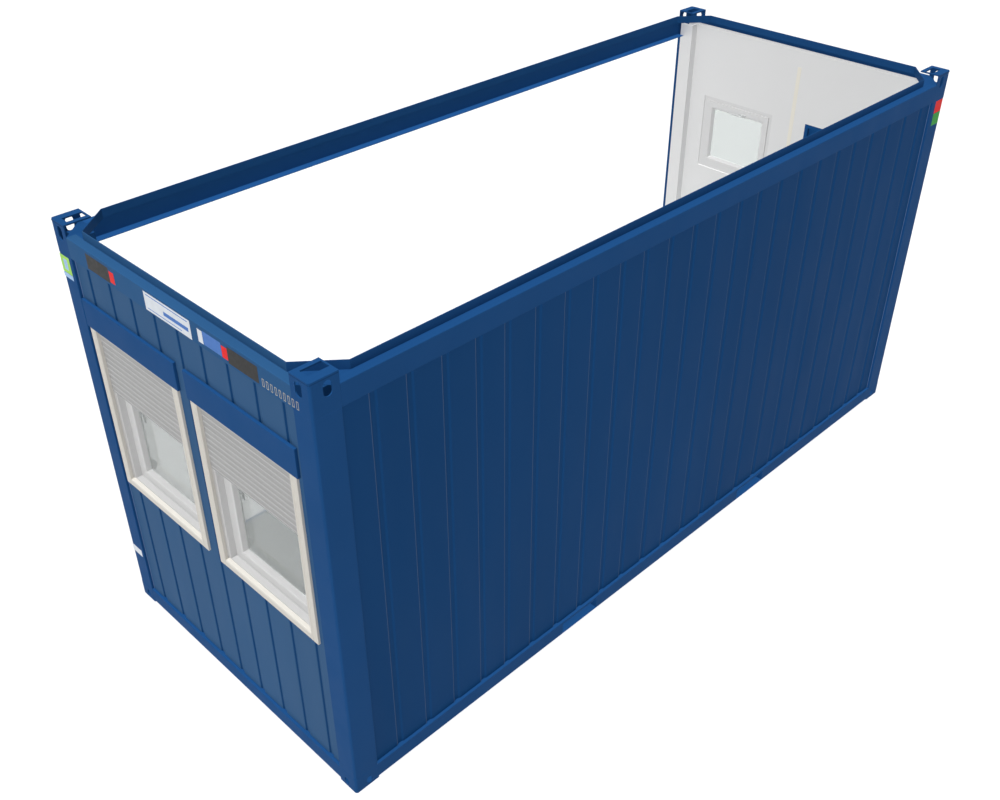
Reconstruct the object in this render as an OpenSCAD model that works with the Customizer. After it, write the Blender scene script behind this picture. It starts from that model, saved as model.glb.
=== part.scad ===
// Portable site cabin: a 20 ft steel-framed unit, open along one long side and
// open above, with profiled walls, two shuttered windows, a tilt window and a door.
// Origin: centre of the ground footprint. +Z up, windows on the -Y end, the closed
// long wall on +X, the open long side on -X, the door end on +Y. Millimetres.

/* [Overall] */
// Length of the cabin over the corner fittings
cabin_l = 6058; // [5400:1:7300]
// Width of the cabin over the corner fittings
cabin_w = 2438; // [2300:1:2950]
// Height of the cabin over the corner fittings
cabin_h = 2960; // [2800:1:3560]

/* [Frame] */
// Thickness of the folded frame plate
plate_t = 4; // [3:0.5:6]
// Width of a corner post on the end walls
post_end_w = 152; // [130:1:180]
// Width of a corner post on the long sides
post_side_w = 175; // [150:1:200]
// Radius of a post's outer edge
post_r = 18; // [10:1:24]
// Depth of the lip that turns in at a post's edge
post_lip = 30; // [24:1:40]
// Height of a bottom corner fitting
fitting_h = 118; // [100:1:120]
// Wall thickness of the corner fittings
fitting_t = 8; // [6:1:12]
// Thickness of a fitting's top or base plate
fitting_plate = 10; // [8:1:14]
// Width of the hole in a fitting's top or base plate
plate_hole_w = 63.5; // [50:0.5:70]
// Length of the hole in a fitting's top or base plate
plate_hole_l = 124; // [100:1:130]
// Width of the oval holes in the top fittings
oval_w = 51; // [40:1:60]
// Height of the oval holes in the top fittings
oval_h = 88; // [70:1:100]
// Height of the oval holes' centre below the fitting's top
oval_drop = 70; // [60:1:80]
// Width of the small slots in the bottom fittings
foot_slot_w = 40; // [30:1:50]
// Height of the small slots in the bottom fittings
foot_slot_h = 50; // [44:1:60]
// Depth of a rail's flanges
rail_flange = 62; // [50:1:80]
// Clearance of the floor rails above the ground
floor_rail_z = 14; // [8:1:30]
// Height of the floor rails
floor_rail_h = 110; // [108:1:140]
// Height of the roof rails' outer face
roof_rail_h = 137; // [110:1:160]
// Drop from the fittings' top to the roof rails' top
roof_rail_drop = 75; // [60:1:90]
// Height of the gutter's upstand above the roof rail
upstand_h = 55; // [40:1:60]
// Length of the gutter corner's chamfer along the end rail
chamfer_x = 190; // [150:1:260]
// Length of the gutter corner's chamfer along the side rail
chamfer_y = 222; // [180:1:300]

/* [Floor] */
// Clear width of a fork pocket
fork_w = 352; // [300:1:370]
// Clear height of a fork pocket
fork_h = 85; // [75:1:90]
// Distance of a fork pocket's centre from the cabin's centre
fork_y = 1025; // [850:1:1200]
// Plate thickness of the fork pockets
fork_t = 3; // [2:0.5:3]
// Width of a floor cross-member
member_w = 60; // [40:1:80]
// Thickness of the sheet under the floor
under_t = 2; // [1:0.5:3]
// Thickness of the floor board
board_t = 26; // [18:1:30]
// Thickness of the floor covering
cover_t = 7; // [3:0.5:10]

/* [Walls] */
// Recess of the walls behind the frame's face
wall_recess = 20; // [12:1:24]
// Thickness of the outer profiled panel
panel_t = 42; // [30:1:60]
// Thickness of the inner lining
lining_t = 42; // [12:1:60]
// Height of the lining above the roof rail's underside
lining_rise = 109; // [60:1:130]
// Width of a side wall panel
panel_w = 1163; // [1000:1:1250]
// Distance from the side wall's middle to its middle joint
side_joint = -673; // [-720:1:-600]
// Distance between the grooves of a panel
groove_pitch = 237; // [200:1:240]
// Width of a groove at the panel's face
groove_w = 48; // [30:1:60]
// Width of a groove at its bottom
groove_floor_w = 28; // [16:1:40]
// Depth of a groove
groove_d = 8; // [4:0.5:12]
// Joint of the two front panels, from the wall's middle
front_joint = 26; // [10:1:36]
// Distance from the front joint to the grooves beside it
front_joint_gap = 227; // [180:1:240]
// Thickness of the white covers over the corner posts
post_cover_t = 10; // [6:1:12]

/* [Front windows] */
// Middle of the left window
left_window_x = -560; // [-565:1:-540]
// Middle of the right window
right_window_x = 530; // [520:1:545]
// Width of the window openings
window_w = 960; // [860:1:980]
// Height of the window openings' sill edge above the ground
window_z = 1120; // [900:1:1300]
// Height of the shutter boxes' underside above the ground
shutter_z = 2305; // [2100:1:2340]
// Width of a shutter box's cover
shutter_w = 1000; // [990:1:1010]
// Height of a shutter box's cover
shutter_h = 187; // [150:1:200]
// Height of a shutter box's body inside the wall
shutter_body_h = 165; // [130:1:180]
// Length of the let-down part of a shutter curtain
curtain_drop = 450; // [200:1:700]
// Thickness of a shutter curtain
curtain_t = 8; // [6:0.5:10]
// Width of the guides beside a window
guide_w = 60; // [50:1:70]
// Height of the strip under a window
sill_h = 50; // [40:1:70]
// Depth of the guides
guide_d = 21; // [15:1:28]
// Distance of the guides' face behind the frame's face
guide_recess = 5; // [2:1:10]
// Visible width of the window frame's lip beside the guides
frame_lip = 17; // [10:1:30]
// Depth of the window frame's lip
frame_lip_d = 44; // [30:1:50]
// Distance of the window frame's edge above the strip
frame_sill_lip = 3; // [0:1:10]
// Width of a sash's stiles
stile_w = 85; // [60:1:95]
// Width of a sash's rails
sash_rail_w = 79; // [60:1:90]
// Thickness of a sash
sash_t = 62; // [50:1:70]
// Overlap of a sash behind the window frame's lip
sash_lap = 9; // [6:1:14]
// Clearance around a sash
sash_gap = 3; // [2:0.5:5]
// Height of a window handle's pivot above the sash's lower edge
handle_pivot_z = 524; // [400:1:620]
// Length of a window handle's lever below its pivot
window_lever_l = 124; // [90:1:130]
// Width of a shutter's belt winder
winder_w = 52; // [40:1:56]
// Height of a belt winder
winder_h = 170; // [120:1:200]
// Depth of a belt winder
winder_d = 93; // [60:1:110]
// Distance of the glass behind a sash's face
glass_set = 40; // [20:1:44]
// Thickness of the glass
glass_t = 6; // [4:1:8]

/* [Rear window] */
// Middle of the rear window
rear_window_x = -553; // [-580:1:-520]
// Width of the rear window's opening
rear_window_w = 717; // [600:1:760]
// Height of the rear window's opening
rear_window_h = 658; // [550:1:700]
// Height of the rear window's opening above the ground
rear_window_z = 1600; // [1400:1:1660]
// Visible width of the rear window's frame
rear_frame_w = 45; // [35:1:60]
// Width of the rear sash's bars
rear_sash_w = 70; // [55:1:80]
// Distance of the rear window's handle below the sash's upper edge
rear_handle_drop = 50; // [30:1:55]

/* [Door] */
// Middle of the door frame
door_x = 568.5; // [560:0.5:585]
// Width of the door frame
door_w = 875; // [780:1:900]
// Height of the door frame's top above the ground
door_top = 2269; // [2100:1:2400]
// Width of the door frame around the leaf
jamb_w = 15; // [12:1:20]
// Width of the door frame's stop
stop_w = 30; // [24:1:40]
// Depth of the door frame's stop
stop_d = 24; // [20:1:30]
// Distance of the door frame's face behind the cabin's frame
door_face = 16; // [14:1:18]
// Thickness of the door leaf
leaf_t = 40; // [35:1:45]
// Clearance between the leaf and its frame
leaf_gap = 5; // [5:0.5:8]
// Clearance at the leaf's opening edge
latch_gap = 7; // [7:0.5:10]
// Clearance between the leaf and the stop
stop_gap = 6; // [5:0.5:8]
// Radius of a hinge's barrel
barrel_r = 7; // [6:0.5:7]
// Radius of a hinge's pin
pin_r = 4; // [3:0.5:4.5]
// Running clearance between pin and barrel
pin_gap = 0.05; // [0.02:0.01:0.1]
// Length of a hinge's half
knuckle_h = 50; // [35:1:70]
// Distance of the outer hinges from the leaf's ends
hinge_inset = 250; // [150:1:400]
// Height of the door handle above the floor
handle_rise = 1050; // [900:1:1150]

/* [Hidden] */
$fn = 48;
eps = 0.5;                    // how far a cutter runs past a face
half_l = cabin_l / 2;
half_w = cabin_w / 2;
end_inner = half_w - post_end_w;      // post's inner edge on the end walls
side_inner = half_l - post_side_w;    // post's inner edge on the long sides
rail_inner_x = half_w - rail_flange;
rail_inner_y = half_l - rail_flange;
floor_rail_top = floor_rail_z + floor_rail_h;
roof_rail_top = cabin_h - roof_rail_drop;
roof_rail_z = roof_rail_top - roof_rail_h;
board_top = floor_rail_top + board_t;
floor_top = board_top + cover_t;
panel_back = wall_recess + panel_t;
lining_face = panel_back + lining_t;  // depth of the room's walls
room_x = half_w - lining_face;
room_y = half_l - lining_face;
lining_top = roof_rail_z + lining_rise;
fork_top = floor_rail_z + fork_h + 2 * fork_t;
fork_half = fork_w / 2 + fork_t;
// Windows, in depth from the cabin's front face
guide_back = guide_recess + guide_d;
lip_face = guide_back + curtain_t + 1;
sash_face = lip_face + frame_lip_d;
frame_back = lining_face + 12;
sash_back = sash_face + sash_t;
lip_half = window_w / 2 - guide_w - frame_lip;
lip_z = window_z + sill_h + frame_sill_lip;
lip_top = shutter_z - sill_h - frame_sill_lip;
// Rear window, in depth from the cabin's rear face
rear_frame_face = panel_back - 8;
rear_sash_face = rear_frame_face + 12;
rear_glass_face = lining_face - 30;
lever_half = 9;               // half the width of a window handle's lever
// Door, in depth from the cabin's rear face
stop_face = lining_face - stop_d;
leaf_back = stop_face - stop_gap;
leaf_face = leaf_back - leaf_t;
door_lo = door_x - door_w / 2;
door_hi = door_x + door_w / 2;
leaf_lo = door_lo + jamb_w + latch_gap;
leaf_hi = door_hi - jamb_w - leaf_gap;
leaf_z = floor_top + leaf_gap;
leaf_top = door_top - jamb_w - leaf_gap;
hinge_x = leaf_hi + leaf_gap / 2;
hinge_depth = door_face - barrel_r;
handle_x = leaf_lo + 65;
handle_z = floor_top + handle_rise;
hinge_heights = [leaf_z + hinge_inset, (leaf_z + leaf_top) / 2, leaf_top - hinge_inset];
window_places = [left_window_x, right_window_x];
// Joints between the side wall's panels, from front to rear
side_joints = [for (k = [-1:2]) side_joint + k * panel_w];
side_edges = concat([-side_inner], side_joints, [side_inner]);

// ---- Placing -----------------------------------------------------------------

// Children are drawn as at the front left corner: x inwards along the end wall,
// y inwards along the long side, from the corner's outer edge.
module at_corner(side, fore) {
    translate([side * half_w, fore * half_l, 0])
        mirror([side > 0 ? 1 : 0, 0, 0])
            mirror([0, fore > 0 ? 1 : 0, 0])
                children();
}

// Children are drawn with x along the wall, y as depth behind its outer face.
module on_front() { translate([0, -half_l, 0]) children(); }
module on_rear() { translate([0, half_l, 0]) mirror([0, 1, 0]) children(); }
module on_closed_side() { translate([half_w, 0, 0]) rotate([0, 0, 90]) children(); }
module on_open_side() { translate([-half_w, 0, 0]) mirror([1, 0, 0]) rotate([0, 0, 90]) children(); }

// A box from its low and high corners
module block(lo, hi) { translate(lo) cube(hi - lo); }

// Children as drawn for the rear half, mirrored to the front half where fore is -1
module at_end(fore) { mirror([0, fore < 0 ? 1 : 0, 0]) children(); }

// A profile drawn as depth and height, run along x
module run(from, to) {
    translate([from, 0, 0]) rotate([90, 0, 90]) linear_extrude(to - from) children();
}

// ---- Corner posts and fittings --------------------------------------------------

module rounded_corner(w, d, r) {
    translate([r, 0]) square([w - r, d]);
    translate([0, r]) square([w, d - r]);
    translate([r, r]) circle(r);
}

// Two flanges that meet in a rounded outer edge
module corner_angle(w, d, t, r) {
    difference() {
        rounded_corner(w, d, r);
        translate([t, t]) rounded_corner(w, d, r - t);
    }
}

module corner_post() {
    translate([0, 0, fitting_h]) linear_extrude(roof_rail_z - fitting_h) {
        corner_angle(post_end_w, post_side_w, plate_t, post_r);
        translate([post_end_w - plate_t, 0]) square([plate_t, post_lip]);
        translate([0, post_side_w - plate_t]) square([post_lip, plate_t]);
    }
}

// An upright oval, cut along y through a face at y = 0
module upright_oval(w, h) {
    r = w / 2;
    translate([0, -eps, 0]) {
        translate([-r, 0, r - h / 2]) cube([w, fitting_t + 2 * eps, h - w]);
        for (end = [-1, 1])
            translate([0, 0, end * (h / 2 - r)])
                rotate([-90, 0, 0]) cylinder(r = r, h = fitting_t + 2 * eps);
    }
}

// The same oval in both outer faces of a corner fitting
module oval_pair(w, h, z) {
    translate([post_end_w / 2 + 12, 0, z]) upright_oval(w, h);
    translate([0, post_side_w / 2 + 16, z]) mirror([1, 0, 0]) rotate([0, 0, 90]) upright_oval(w, h);
}

module plate_hole(z) {
    translate([(post_end_w - plate_hole_w) / 2 + 13, (post_side_w - plate_hole_l) / 2 + 15, z - eps])
        cube([plate_hole_w, plate_hole_l, fitting_plate + 2 * eps]);
}

module top_fitting() {
    wall_top = cabin_h - fitting_plate;
    difference() {
        union() {
            translate([0, 0, roof_rail_z]) linear_extrude(wall_top - roof_rail_z)
                corner_angle(post_end_w, post_side_w, fitting_t, post_r);
            translate([0, 0, wall_top]) linear_extrude(fitting_plate)
                rounded_corner(post_end_w, post_side_w, post_r);
        }
        oval_pair(oval_w, oval_h, cabin_h - oval_drop);
        plate_hole(wall_top);
    }
}

module bottom_fitting() {
    difference() {
        linear_extrude(fitting_h) rounded_corner(post_end_w, post_side_w, post_r);
        translate([fitting_t, fitting_t, fitting_plate])
            linear_extrude(fitting_h - 2 * fitting_plate)
                rounded_corner(post_end_w - 2 * fitting_t, post_side_w - 2 * fitting_t, post_r - fitting_t);
        oval_pair(foot_slot_w, foot_slot_h, (fitting_h - 28) / 2);
        plate_hole(0);
    }
}

module front_left_corner_post() { color("#123a68") at_corner(-1, -1) corner_post(); }
module front_right_corner_post() { color("#123a68") at_corner(1, -1) corner_post(); }
module rear_left_corner_post() { color("#123a68") at_corner(-1, 1) corner_post(); }
module rear_right_corner_post() { color("#123a68") at_corner(1, 1) corner_post(); }
module front_left_top_fitting() { color("#123a68") at_corner(-1, -1) top_fitting(); }
module front_right_top_fitting() { color("#123a68") at_corner(1, -1) top_fitting(); }
module rear_left_top_fitting() { color("#123a68") at_corner(-1, 1) top_fitting(); }
module rear_right_top_fitting() { color("#123a68") at_corner(1, 1) top_fitting(); }

module bottom_fittings() {
    color("#123a68")
        for (side = [-1, 1], fore = [-1, 1]) at_corner(side, fore) bottom_fitting();
}

// ---- Floor ------------------------------------------------------------------------

// C-section, open inwards
module channel_profile(z, top) {
    difference() {
        translate([0, z]) square([rail_flange, top - z]);
        translate([plate_t, z + plate_t]) square([rail_flange, top - z - 2 * plate_t]);
    }
}

module floor_rail(half) {
    run(-half, half) channel_profile(floor_rail_z, floor_rail_top);
}

module side_floor_rail() {
    difference() {
        floor_rail(side_inner);
        for (place = [-fork_y, fork_y])
            block([place - fork_half, -eps, floor_rail_z - eps],
                  [place + fork_half, rail_flange + eps, fork_top]);
    }
}

module front_floor_rail() { color("#1a4676") on_front() floor_rail(end_inner); }
module rear_floor_rail() { color("#1a4676") on_rear() floor_rail(end_inner); }
module closed_side_floor_rail() { color("#1a4676") on_closed_side() side_floor_rail(); }
module open_side_floor_rail() { color("#1a4676") on_open_side() side_floor_rail(); }

// A channel across the floor, between the side rails' flanges, with a pad up to the board
module cross_member(y) {
    low = floor_rail_z + plate_t;
    high = floor_rail_top - plate_t;
    web_x = half_w - plate_t;
    translate([0, y - member_w / 2, 0]) {
        block([-web_x, 0, low], [web_x, plate_t, high]);
        block([-web_x, 0, low], [web_x, member_w, low + plate_t]);
        block([-web_x, 0, high - plate_t], [web_x, member_w, high]);
        block([-rail_inner_x, 0, high], [rail_inner_x, member_w, floor_rail_top]);
    }
}

module floor_cross_members() {
    outer_from = fork_y + fork_half + member_w;
    outer_step = (side_inner - outer_from - member_w) / 3;
    inner_step = (fork_y - fork_half - member_w) * 2 / 3;
    color("#1d2c3d") {
        for (end = [-1, 1], k = [0:3]) cross_member(end * (outer_from + k * outer_step));
        for (k = [-1, 0, 1]) cross_member(k * inner_step);
    }
}

module fork_pocket(y) {
    translate([0, y, 0]) difference() {
        block([-half_w, -fork_half, floor_rail_z], [half_w, fork_half, fork_top]);
        block([-half_w - eps, -fork_w / 2, floor_rail_z + fork_t],
              [half_w + eps, fork_w / 2, fork_top - fork_t]);
    }
}

module front_fork_pocket() { color("#15406f") fork_pocket(-fork_y); }
module rear_fork_pocket() { color("#15406f") fork_pocket(fork_y); }

module underfloor_sheets() {
    top = floor_rail_z + plate_t;
    inner = fork_y - fork_half;
    outer = fork_y + fork_half;
    color("#8d9499") {
        block([-rail_inner_x, -inner, top - under_t], [rail_inner_x, inner, top]);
        for (fore = [-1, 1]) at_end(fore) {
            block([-rail_inner_x, outer, top - under_t], [rail_inner_x, side_inner, top]);
            block([-end_inner, outer, top - under_t], [end_inner, rail_inner_y, top]);
        }
    }
}

module floor_board() {
    color("#b08a5a")
        block([-rail_inner_x, -rail_inner_y, floor_rail_top], [rail_inner_x, rail_inner_y, board_top]);
}

module floor_covering() {
    color("#a9acac") block([-rail_inner_x, -room_y, board_top], [room_x, room_y, floor_top]);
}

// ---- Roof frame --------------------------------------------------------------------

// Channel with a gutter upstand on its inner edge, which stops at the gutter corners
module roof_rail(half, upstand_half) {
    run(-half, half) channel_profile(roof_rail_z, roof_rail_top);
    block([-upstand_half, rail_flange - plate_t, roof_rail_top],
          [upstand_half, rail_flange, roof_rail_top + upstand_h]);
}

module end_roof_rail() { roof_rail(end_inner, rail_inner_x - chamfer_x); }
module side_roof_rail() { roof_rail(side_inner, rail_inner_y - chamfer_y); }
module front_roof_rail() { color("#2a5584") on_front() end_roof_rail(); }
module rear_roof_rail() { color("#2a5584") on_rear() end_roof_rail(); }
module closed_side_roof_rail() { color("#2a5584") on_closed_side() side_roof_rail(); }
module open_side_roof_rail() { color("#2a5584") on_open_side() side_roof_rail(); }

// Gutter floor between rails and fitting, cut back over the downpipe, with its upstand
module gutter_corner() {
    inside = fitting_t;
    drain = 144;
    f = rail_flange;
    translate([0, 0, roof_rail_top - plate_t]) linear_extrude(plate_t) polygon([
        [f + chamfer_x, f], [post_end_w, f], [post_end_w, inside], [inside + drain - 5, inside],
        [inside, inside + drain], [inside, post_side_w], [f, post_side_w], [f, f + chamfer_y]]);
    chamfer = [chamfer_x, -chamfer_y];
    across = plate_t * [chamfer_y, chamfer_x] / norm(chamfer);
    translate([0, 0, roof_rail_top]) linear_extrude(upstand_h) intersection() {
        polygon([
            [f, f + chamfer_y] - chamfer / 4, [f + chamfer_x, f] + chamfer / 4,
            [f + chamfer_x, f] + chamfer / 4 - across, [f, f + chamfer_y] - chamfer / 4 - across]);
        translate([f - plate_t, f - plate_t]) square([chamfer_x + plate_t, chamfer_y + plate_t]);
    }
}

module roof_gutter_corners() {
    color("#3a6fa5")
        for (side = [-1, 1], fore = [-1, 1]) at_corner(side, fore) gutter_corner();
}

// ---- Walls -------------------------------------------------------------------------

// A panel seen from above, with upright grooves in its outer face
module grooved_outline(from, to, grooves) {
    bottom = wall_recess + groove_d;
    difference() {
        translate([from, wall_recess]) square([to - from, panel_t]);
        for (g = grooves) polygon([
            [g - groove_w / 2, wall_recess - eps], [g + groove_w / 2, wall_recess - eps],
            [g + groove_w / 2, wall_recess], [g + groove_floor_w / 2, bottom],
            [g - groove_floor_w / 2, bottom], [g - groove_w / 2, wall_recess]]);
    }
}

module wall_panel(from, to, grooves, z = floor_rail_top, top = roof_rail_z) {
    translate([0, 0, z]) linear_extrude(top - z) grooved_outline(from, to, grooves);
}

module lining_slab(from, to, z = board_top, top = lining_top) {
    block([from, panel_back, z], [to, lining_face, top]);
}

// Grooves of side panel k, spread about its middle, clear of its edges
module side_panel(k) {
    from = side_edges[k];
    to = side_edges[k + 1];
    last = side_joint + (k - 1) * panel_w;
    middle = last - panel_w / 2;
    grooves = [for (n = [-2:2]) middle + n * groove_pitch];
    clear = [for (g = grooves) if (g - groove_w > from && g + groove_w < to) g];
    color("#1c426f") on_closed_side() wall_panel(from, to, clear);
}

module side_wall_panel_1() { side_panel(0); }
module side_wall_panel_2() { side_panel(1); }
module side_wall_panel_3() { side_panel(2); }
module side_wall_panel_4() { side_panel(3); }
module side_wall_panel_5() { side_panel(4); }
module side_wall_lining() { color("#d4d4d4") on_closed_side() lining_slab(-room_y, room_y); }

// Grooves of an end wall, spread to both sides of a joint
function end_grooves(joint, from, to) =
    [for (side = [-1, 1], n = [0:5])
        let (g = joint + side * (front_joint_gap + n * (groove_pitch + 1)))
        if (g - groove_w > from && g + groove_w < to) g];

module window_hole(middle) {
    block([middle - window_w / 2, -eps, window_z],
          [middle + window_w / 2, lining_face + eps, shutter_z + shutter_body_h]);
}

module front_panel(from, to, middle) {
    color("#2b5482") on_front() difference() {
        // The middle groove belongs half to each panel
        wall_panel(from, to, concat([front_joint], end_grooves(front_joint, from, to)));
        window_hole(middle);
    }
}

module front_wall_panel_left() { front_panel(-end_inner, front_joint, left_window_x); }
module front_wall_panel_right() { front_panel(front_joint, end_inner, right_window_x); }

module front_wall_lining() {
    color("#d4d4d4") on_front() difference() {
        lining_slab(-rail_inner_x, rail_inner_x);
        for (middle = window_places) window_hole(middle);
    }
}

module rear_window_hole() {
    block([rear_window_x - rear_window_w / 2, -eps, rear_window_z],
          [rear_window_x + rear_window_w / 2, lining_face + eps, rear_window_z + rear_window_h]);
}

module rear_wall_panel_window() {
    color("#1c426f") on_rear() difference() {
        wall_panel(-end_inner, 0, end_grooves(0, -end_inner, 0));
        rear_window_hole();
    }
}

module rear_wall_panel_over_door() {
    color("#1c426f") on_rear() wall_panel(0, end_inner, end_grooves(0, 0, end_inner), door_top);
}

module rear_wall_panels_beside_door() {
    color("#1c426f") on_rear() {
        wall_panel(0, door_lo, [], floor_rail_top, door_top);
        wall_panel(door_hi, end_inner, [], floor_rail_top, door_top);
    }
}

module rear_wall_lining_window() {
    color("#d4d4d4") on_rear() difference() {
        lining_slab(-rail_inner_x, 0);
        rear_window_hole();
    }
}

module rear_wall_lining_over_door() {
    color("#d4d4d4") on_rear() lining_slab(0, rail_inner_x, door_top);
}

module rear_wall_linings_beside_door() {
    color("#d4d4d4") on_rear() {
        lining_slab(0, door_lo, board_top, door_top);
        lining_slab(door_hi, rail_inner_x, board_top, door_top);
    }
}

// Angle over a post, from its lip or the side lining round to the end lining
module post_cover(outer_edge) {
    t = post_cover_t;
    translate([0, 0, floor_top]) linear_extrude(lining_top - floor_top) {
        translate([outer_edge, post_side_w - t]) square([post_end_w - outer_edge, t]);
        translate([post_end_w - t, lining_face]) square([t, post_side_w - lining_face]);
    }
}

module corner_post_covers() {
    color("#d9d9d9") for (fore = [-1, 1]) {
        at_corner(-1, fore) post_cover(post_lip);
        at_corner(1, fore) post_cover(lining_face);
    }
}

// ---- Windows -----------------------------------------------------------------------

// A rectangular ring about x = 0, between two depths
module ring(half, z, top, inner_half, inner_z, inner_top, front, back) {
    difference() {
        block([-half, front, z], [half, back, top]);
        block([-inner_half, front - eps, inner_z], [inner_half, back + eps, inner_top]);
    }
}

module shutter_box() {
    block([-shutter_w / 2, 0, shutter_z], [shutter_w / 2, wall_recess, shutter_z + shutter_h]);
    block([-window_w / 2, wall_recess, shutter_z],
          [window_w / 2, frame_back, shutter_z + shutter_body_h]);
}

module shutter_boxes() {
    color("#26507e") on_front() for (x = window_places) translate([x, 0, 0]) shutter_box();
}

module shutter_curtains() {
    half = window_w / 2 - guide_w * 2 / 3;
    color("#a8a8a8") on_front() for (x = window_places)
        block([x - half, guide_back, shutter_z - curtain_drop], [x + half, guide_back + curtain_t, shutter_z]);
}

// Two guides with a slot for the curtain, joined by the strip under the window
module guide_set() {
    half = window_w / 2;
    slot = half - guide_w * 2 / 3 + 1;
    difference() {
        block([-half, guide_recess, window_z], [half, lip_face, shutter_z]);
        block([guide_w - half, 0, window_z + sill_h], [half - guide_w, lip_face + eps, shutter_z + eps]);
        block([-slot, guide_back, window_z + sill_h], [slot, lip_face + eps, shutter_z + eps]);
    }
}

module window_guides() {
    color("#cdcac2") on_front() for (x = window_places) translate([x, 0, 0]) guide_set();
}

// Frame with a lip in front and a rebate for the sash behind it
module front_window_frame() {
    half = window_w / 2;
    seat = sash_lap + sash_gap;
    ring(half, window_z, shutter_z, lip_half, lip_z, lip_top, lip_face, sash_face);
    ring(half, window_z, shutter_z, lip_half + seat, lip_z - seat, lip_top + seat, sash_face, frame_back);
}

module front_sash() {
    half = lip_half + sash_lap;
    low = lip_z - sash_lap;
    high = lip_top + sash_lap;
    ring(half, low, high, half - stile_w, low + sash_rail_w, high - sash_rail_w, sash_face, sash_back);
}

module front_glass() {
    half = lip_half + sash_lap - stile_w;
    drop = sash_rail_w - sash_lap;
    block([-half, sash_face + glass_set, lip_z + drop],
          [half, sash_face + glass_set + glass_t, lip_top - drop]);
}

module rear_ring(inset, width, front, back) {
    half = rear_window_w / 2 - inset;
    low = rear_window_z + inset;
    high = rear_window_z + rear_window_h - inset;
    ring(half, low, high, half - width, low + width, high - width, front, back);
}

module rear_window_frame() {
    rear_ring(0, rear_frame_w, rear_frame_face, rear_sash_face);
    rear_ring(0, rear_frame_w - sash_lap - sash_gap, rear_sash_face, lining_face - 8);
}

module rear_sash() {
    rear_ring(rear_frame_w - sash_lap, rear_sash_w, rear_sash_face, lining_face);
}

module rear_glass() {
    inset = rear_frame_w - sash_lap + rear_sash_w;
    block([inset - rear_window_w / 2, rear_glass_face, rear_window_z + inset],
          [rear_window_w / 2 - inset, rear_glass_face + glass_t, rear_window_z + rear_window_h - inset]);
}

// Draws its first child in both front windows, its second in the rear one
module in_windows() {
    on_front() for (x = window_places) translate([x, 0, 0]) children(0);
    on_rear() translate([rear_window_x, 0, 0]) children(1);
}

module window_frames() {
    color("#d6d6d6") in_windows() { front_window_frame(); rear_window_frame(); }
}

module window_sashes() {
    color("#dcdcdc") in_windows() { front_sash(); rear_sash(); }
}

module window_glass() {
    color("#c8cdcc", 0.4) in_windows() { front_glass(); rear_glass(); }
}

// A lever on a small plate, hanging from its pivot, on a face at depth y
module window_lever(y) {
    rose_w = 26;
    block([-rose_w / 2, y, -35], [rose_w / 2, y + 10, 35]);
    translate([0, y + 10, 0]) rotate([-90, 0, 0]) cylinder(r = lever_half, h = 22);
    block([-lever_half, y + 24, -window_lever_l], [lever_half, y + 36, lever_half]);
}

module window_handles() {
    stile_x = lip_half + sash_lap - stile_w / 2;
    rear_sash_top = rear_window_z + rear_window_h - rear_frame_w + sash_lap;
    color("#9a9c9c") {
        on_front() for (x = window_places)
            translate([x - stile_x, 0, lip_z - sash_lap + handle_pivot_z]) window_lever(sash_back);
        // The rear window's lever lies level, about the window's middle
        on_rear() translate([rear_window_x + (window_lever_l - lever_half) / 2, 0, rear_sash_top - rear_handle_drop])
            rotate([0, 90, 0]) window_lever(lining_face);
    }
}

// Case of a shutter's belt, on the left bar of the window frame, rounded towards the room
module belt_winder() {
    r = 22;
    inset = 2 - window_w / 2;
    translate([0, frame_back, window_z]) run(inset, inset + winder_w) {
        square([winder_d - r, winder_h]);
        translate([0, r]) square([winder_d, winder_h - 2 * r]);
        for (z = [r, winder_h - r]) translate([winder_d - r, z]) circle(r);
    }
}

module belt_winders() {
    color("#d6d6d6") on_front() for (x = window_places) translate([x, 0, 0]) belt_winder();
}

// ---- Door --------------------------------------------------------------------------

// Fixed half of a hinge with its pin
module hinge_pin(z) {
    translate([hinge_x, hinge_depth, z - knuckle_h]) {
        cylinder(r = barrel_r, h = knuckle_h);
        cylinder(r = pin_r, h = 2 * knuckle_h);
    }
    block([hinge_x, hinge_depth, z - knuckle_h], [door_hi, door_face, z]);
}

module door_frame() {
    color("#1f4f85") on_rear() {
        difference() {
            union() {
                block([door_lo, panel_back, board_top], [door_hi, lining_face, door_top]);
                block([door_lo, door_face, floor_rail_top], [door_hi, panel_back, door_top]);
            }
            block([door_lo + jamb_w, -eps, floor_top], [door_hi - jamb_w, stop_face, door_top - jamb_w]);
            block([door_lo + stop_w, 0, floor_top], [door_hi - stop_w, lining_face + eps, door_top - stop_w]);
        }
        for (z = hinge_heights) hinge_pin(z);
    }
}

// Moving half of a hinge, bored for the pin and carried by an arm on the leaf
module hinge_barrel(z) {
    arm = leaf_gap * 4;
    translate([0, 0, z + 0.5]) difference() {
        union() {
            translate([hinge_x, hinge_depth, 0]) cylinder(r = barrel_r, h = knuckle_h);
            block([leaf_hi - arm, hinge_depth, 0], [leaf_hi, leaf_face, knuckle_h]);
            block([leaf_hi - arm, hinge_depth, 0], [hinge_x, door_face, knuckle_h]);
        }
        translate([hinge_x, hinge_depth, -eps]) cylinder(r = pin_r + pin_gap, h = knuckle_h + 2 * eps);
    }
}

module door_leaf() {
    color("#1a416f") on_rear() {
        block([leaf_lo, leaf_face, leaf_z], [leaf_hi, leaf_back, leaf_top]);
        for (z = hinge_heights) hinge_barrel(z);
    }
}

// Rose, neck and lever on one face of the leaf, reaching out by the given amount
module lever_handle(reach) {
    thick = 14;
    rotate([-90, 0, 0]) cylinder(r = 25, h = 6);
    rotate([-90, 0, 0]) cylinder(r = 9, h = reach - thick / 2);
    block([-10, reach - thick, -10], [125, reach, 10]);
}

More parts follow.
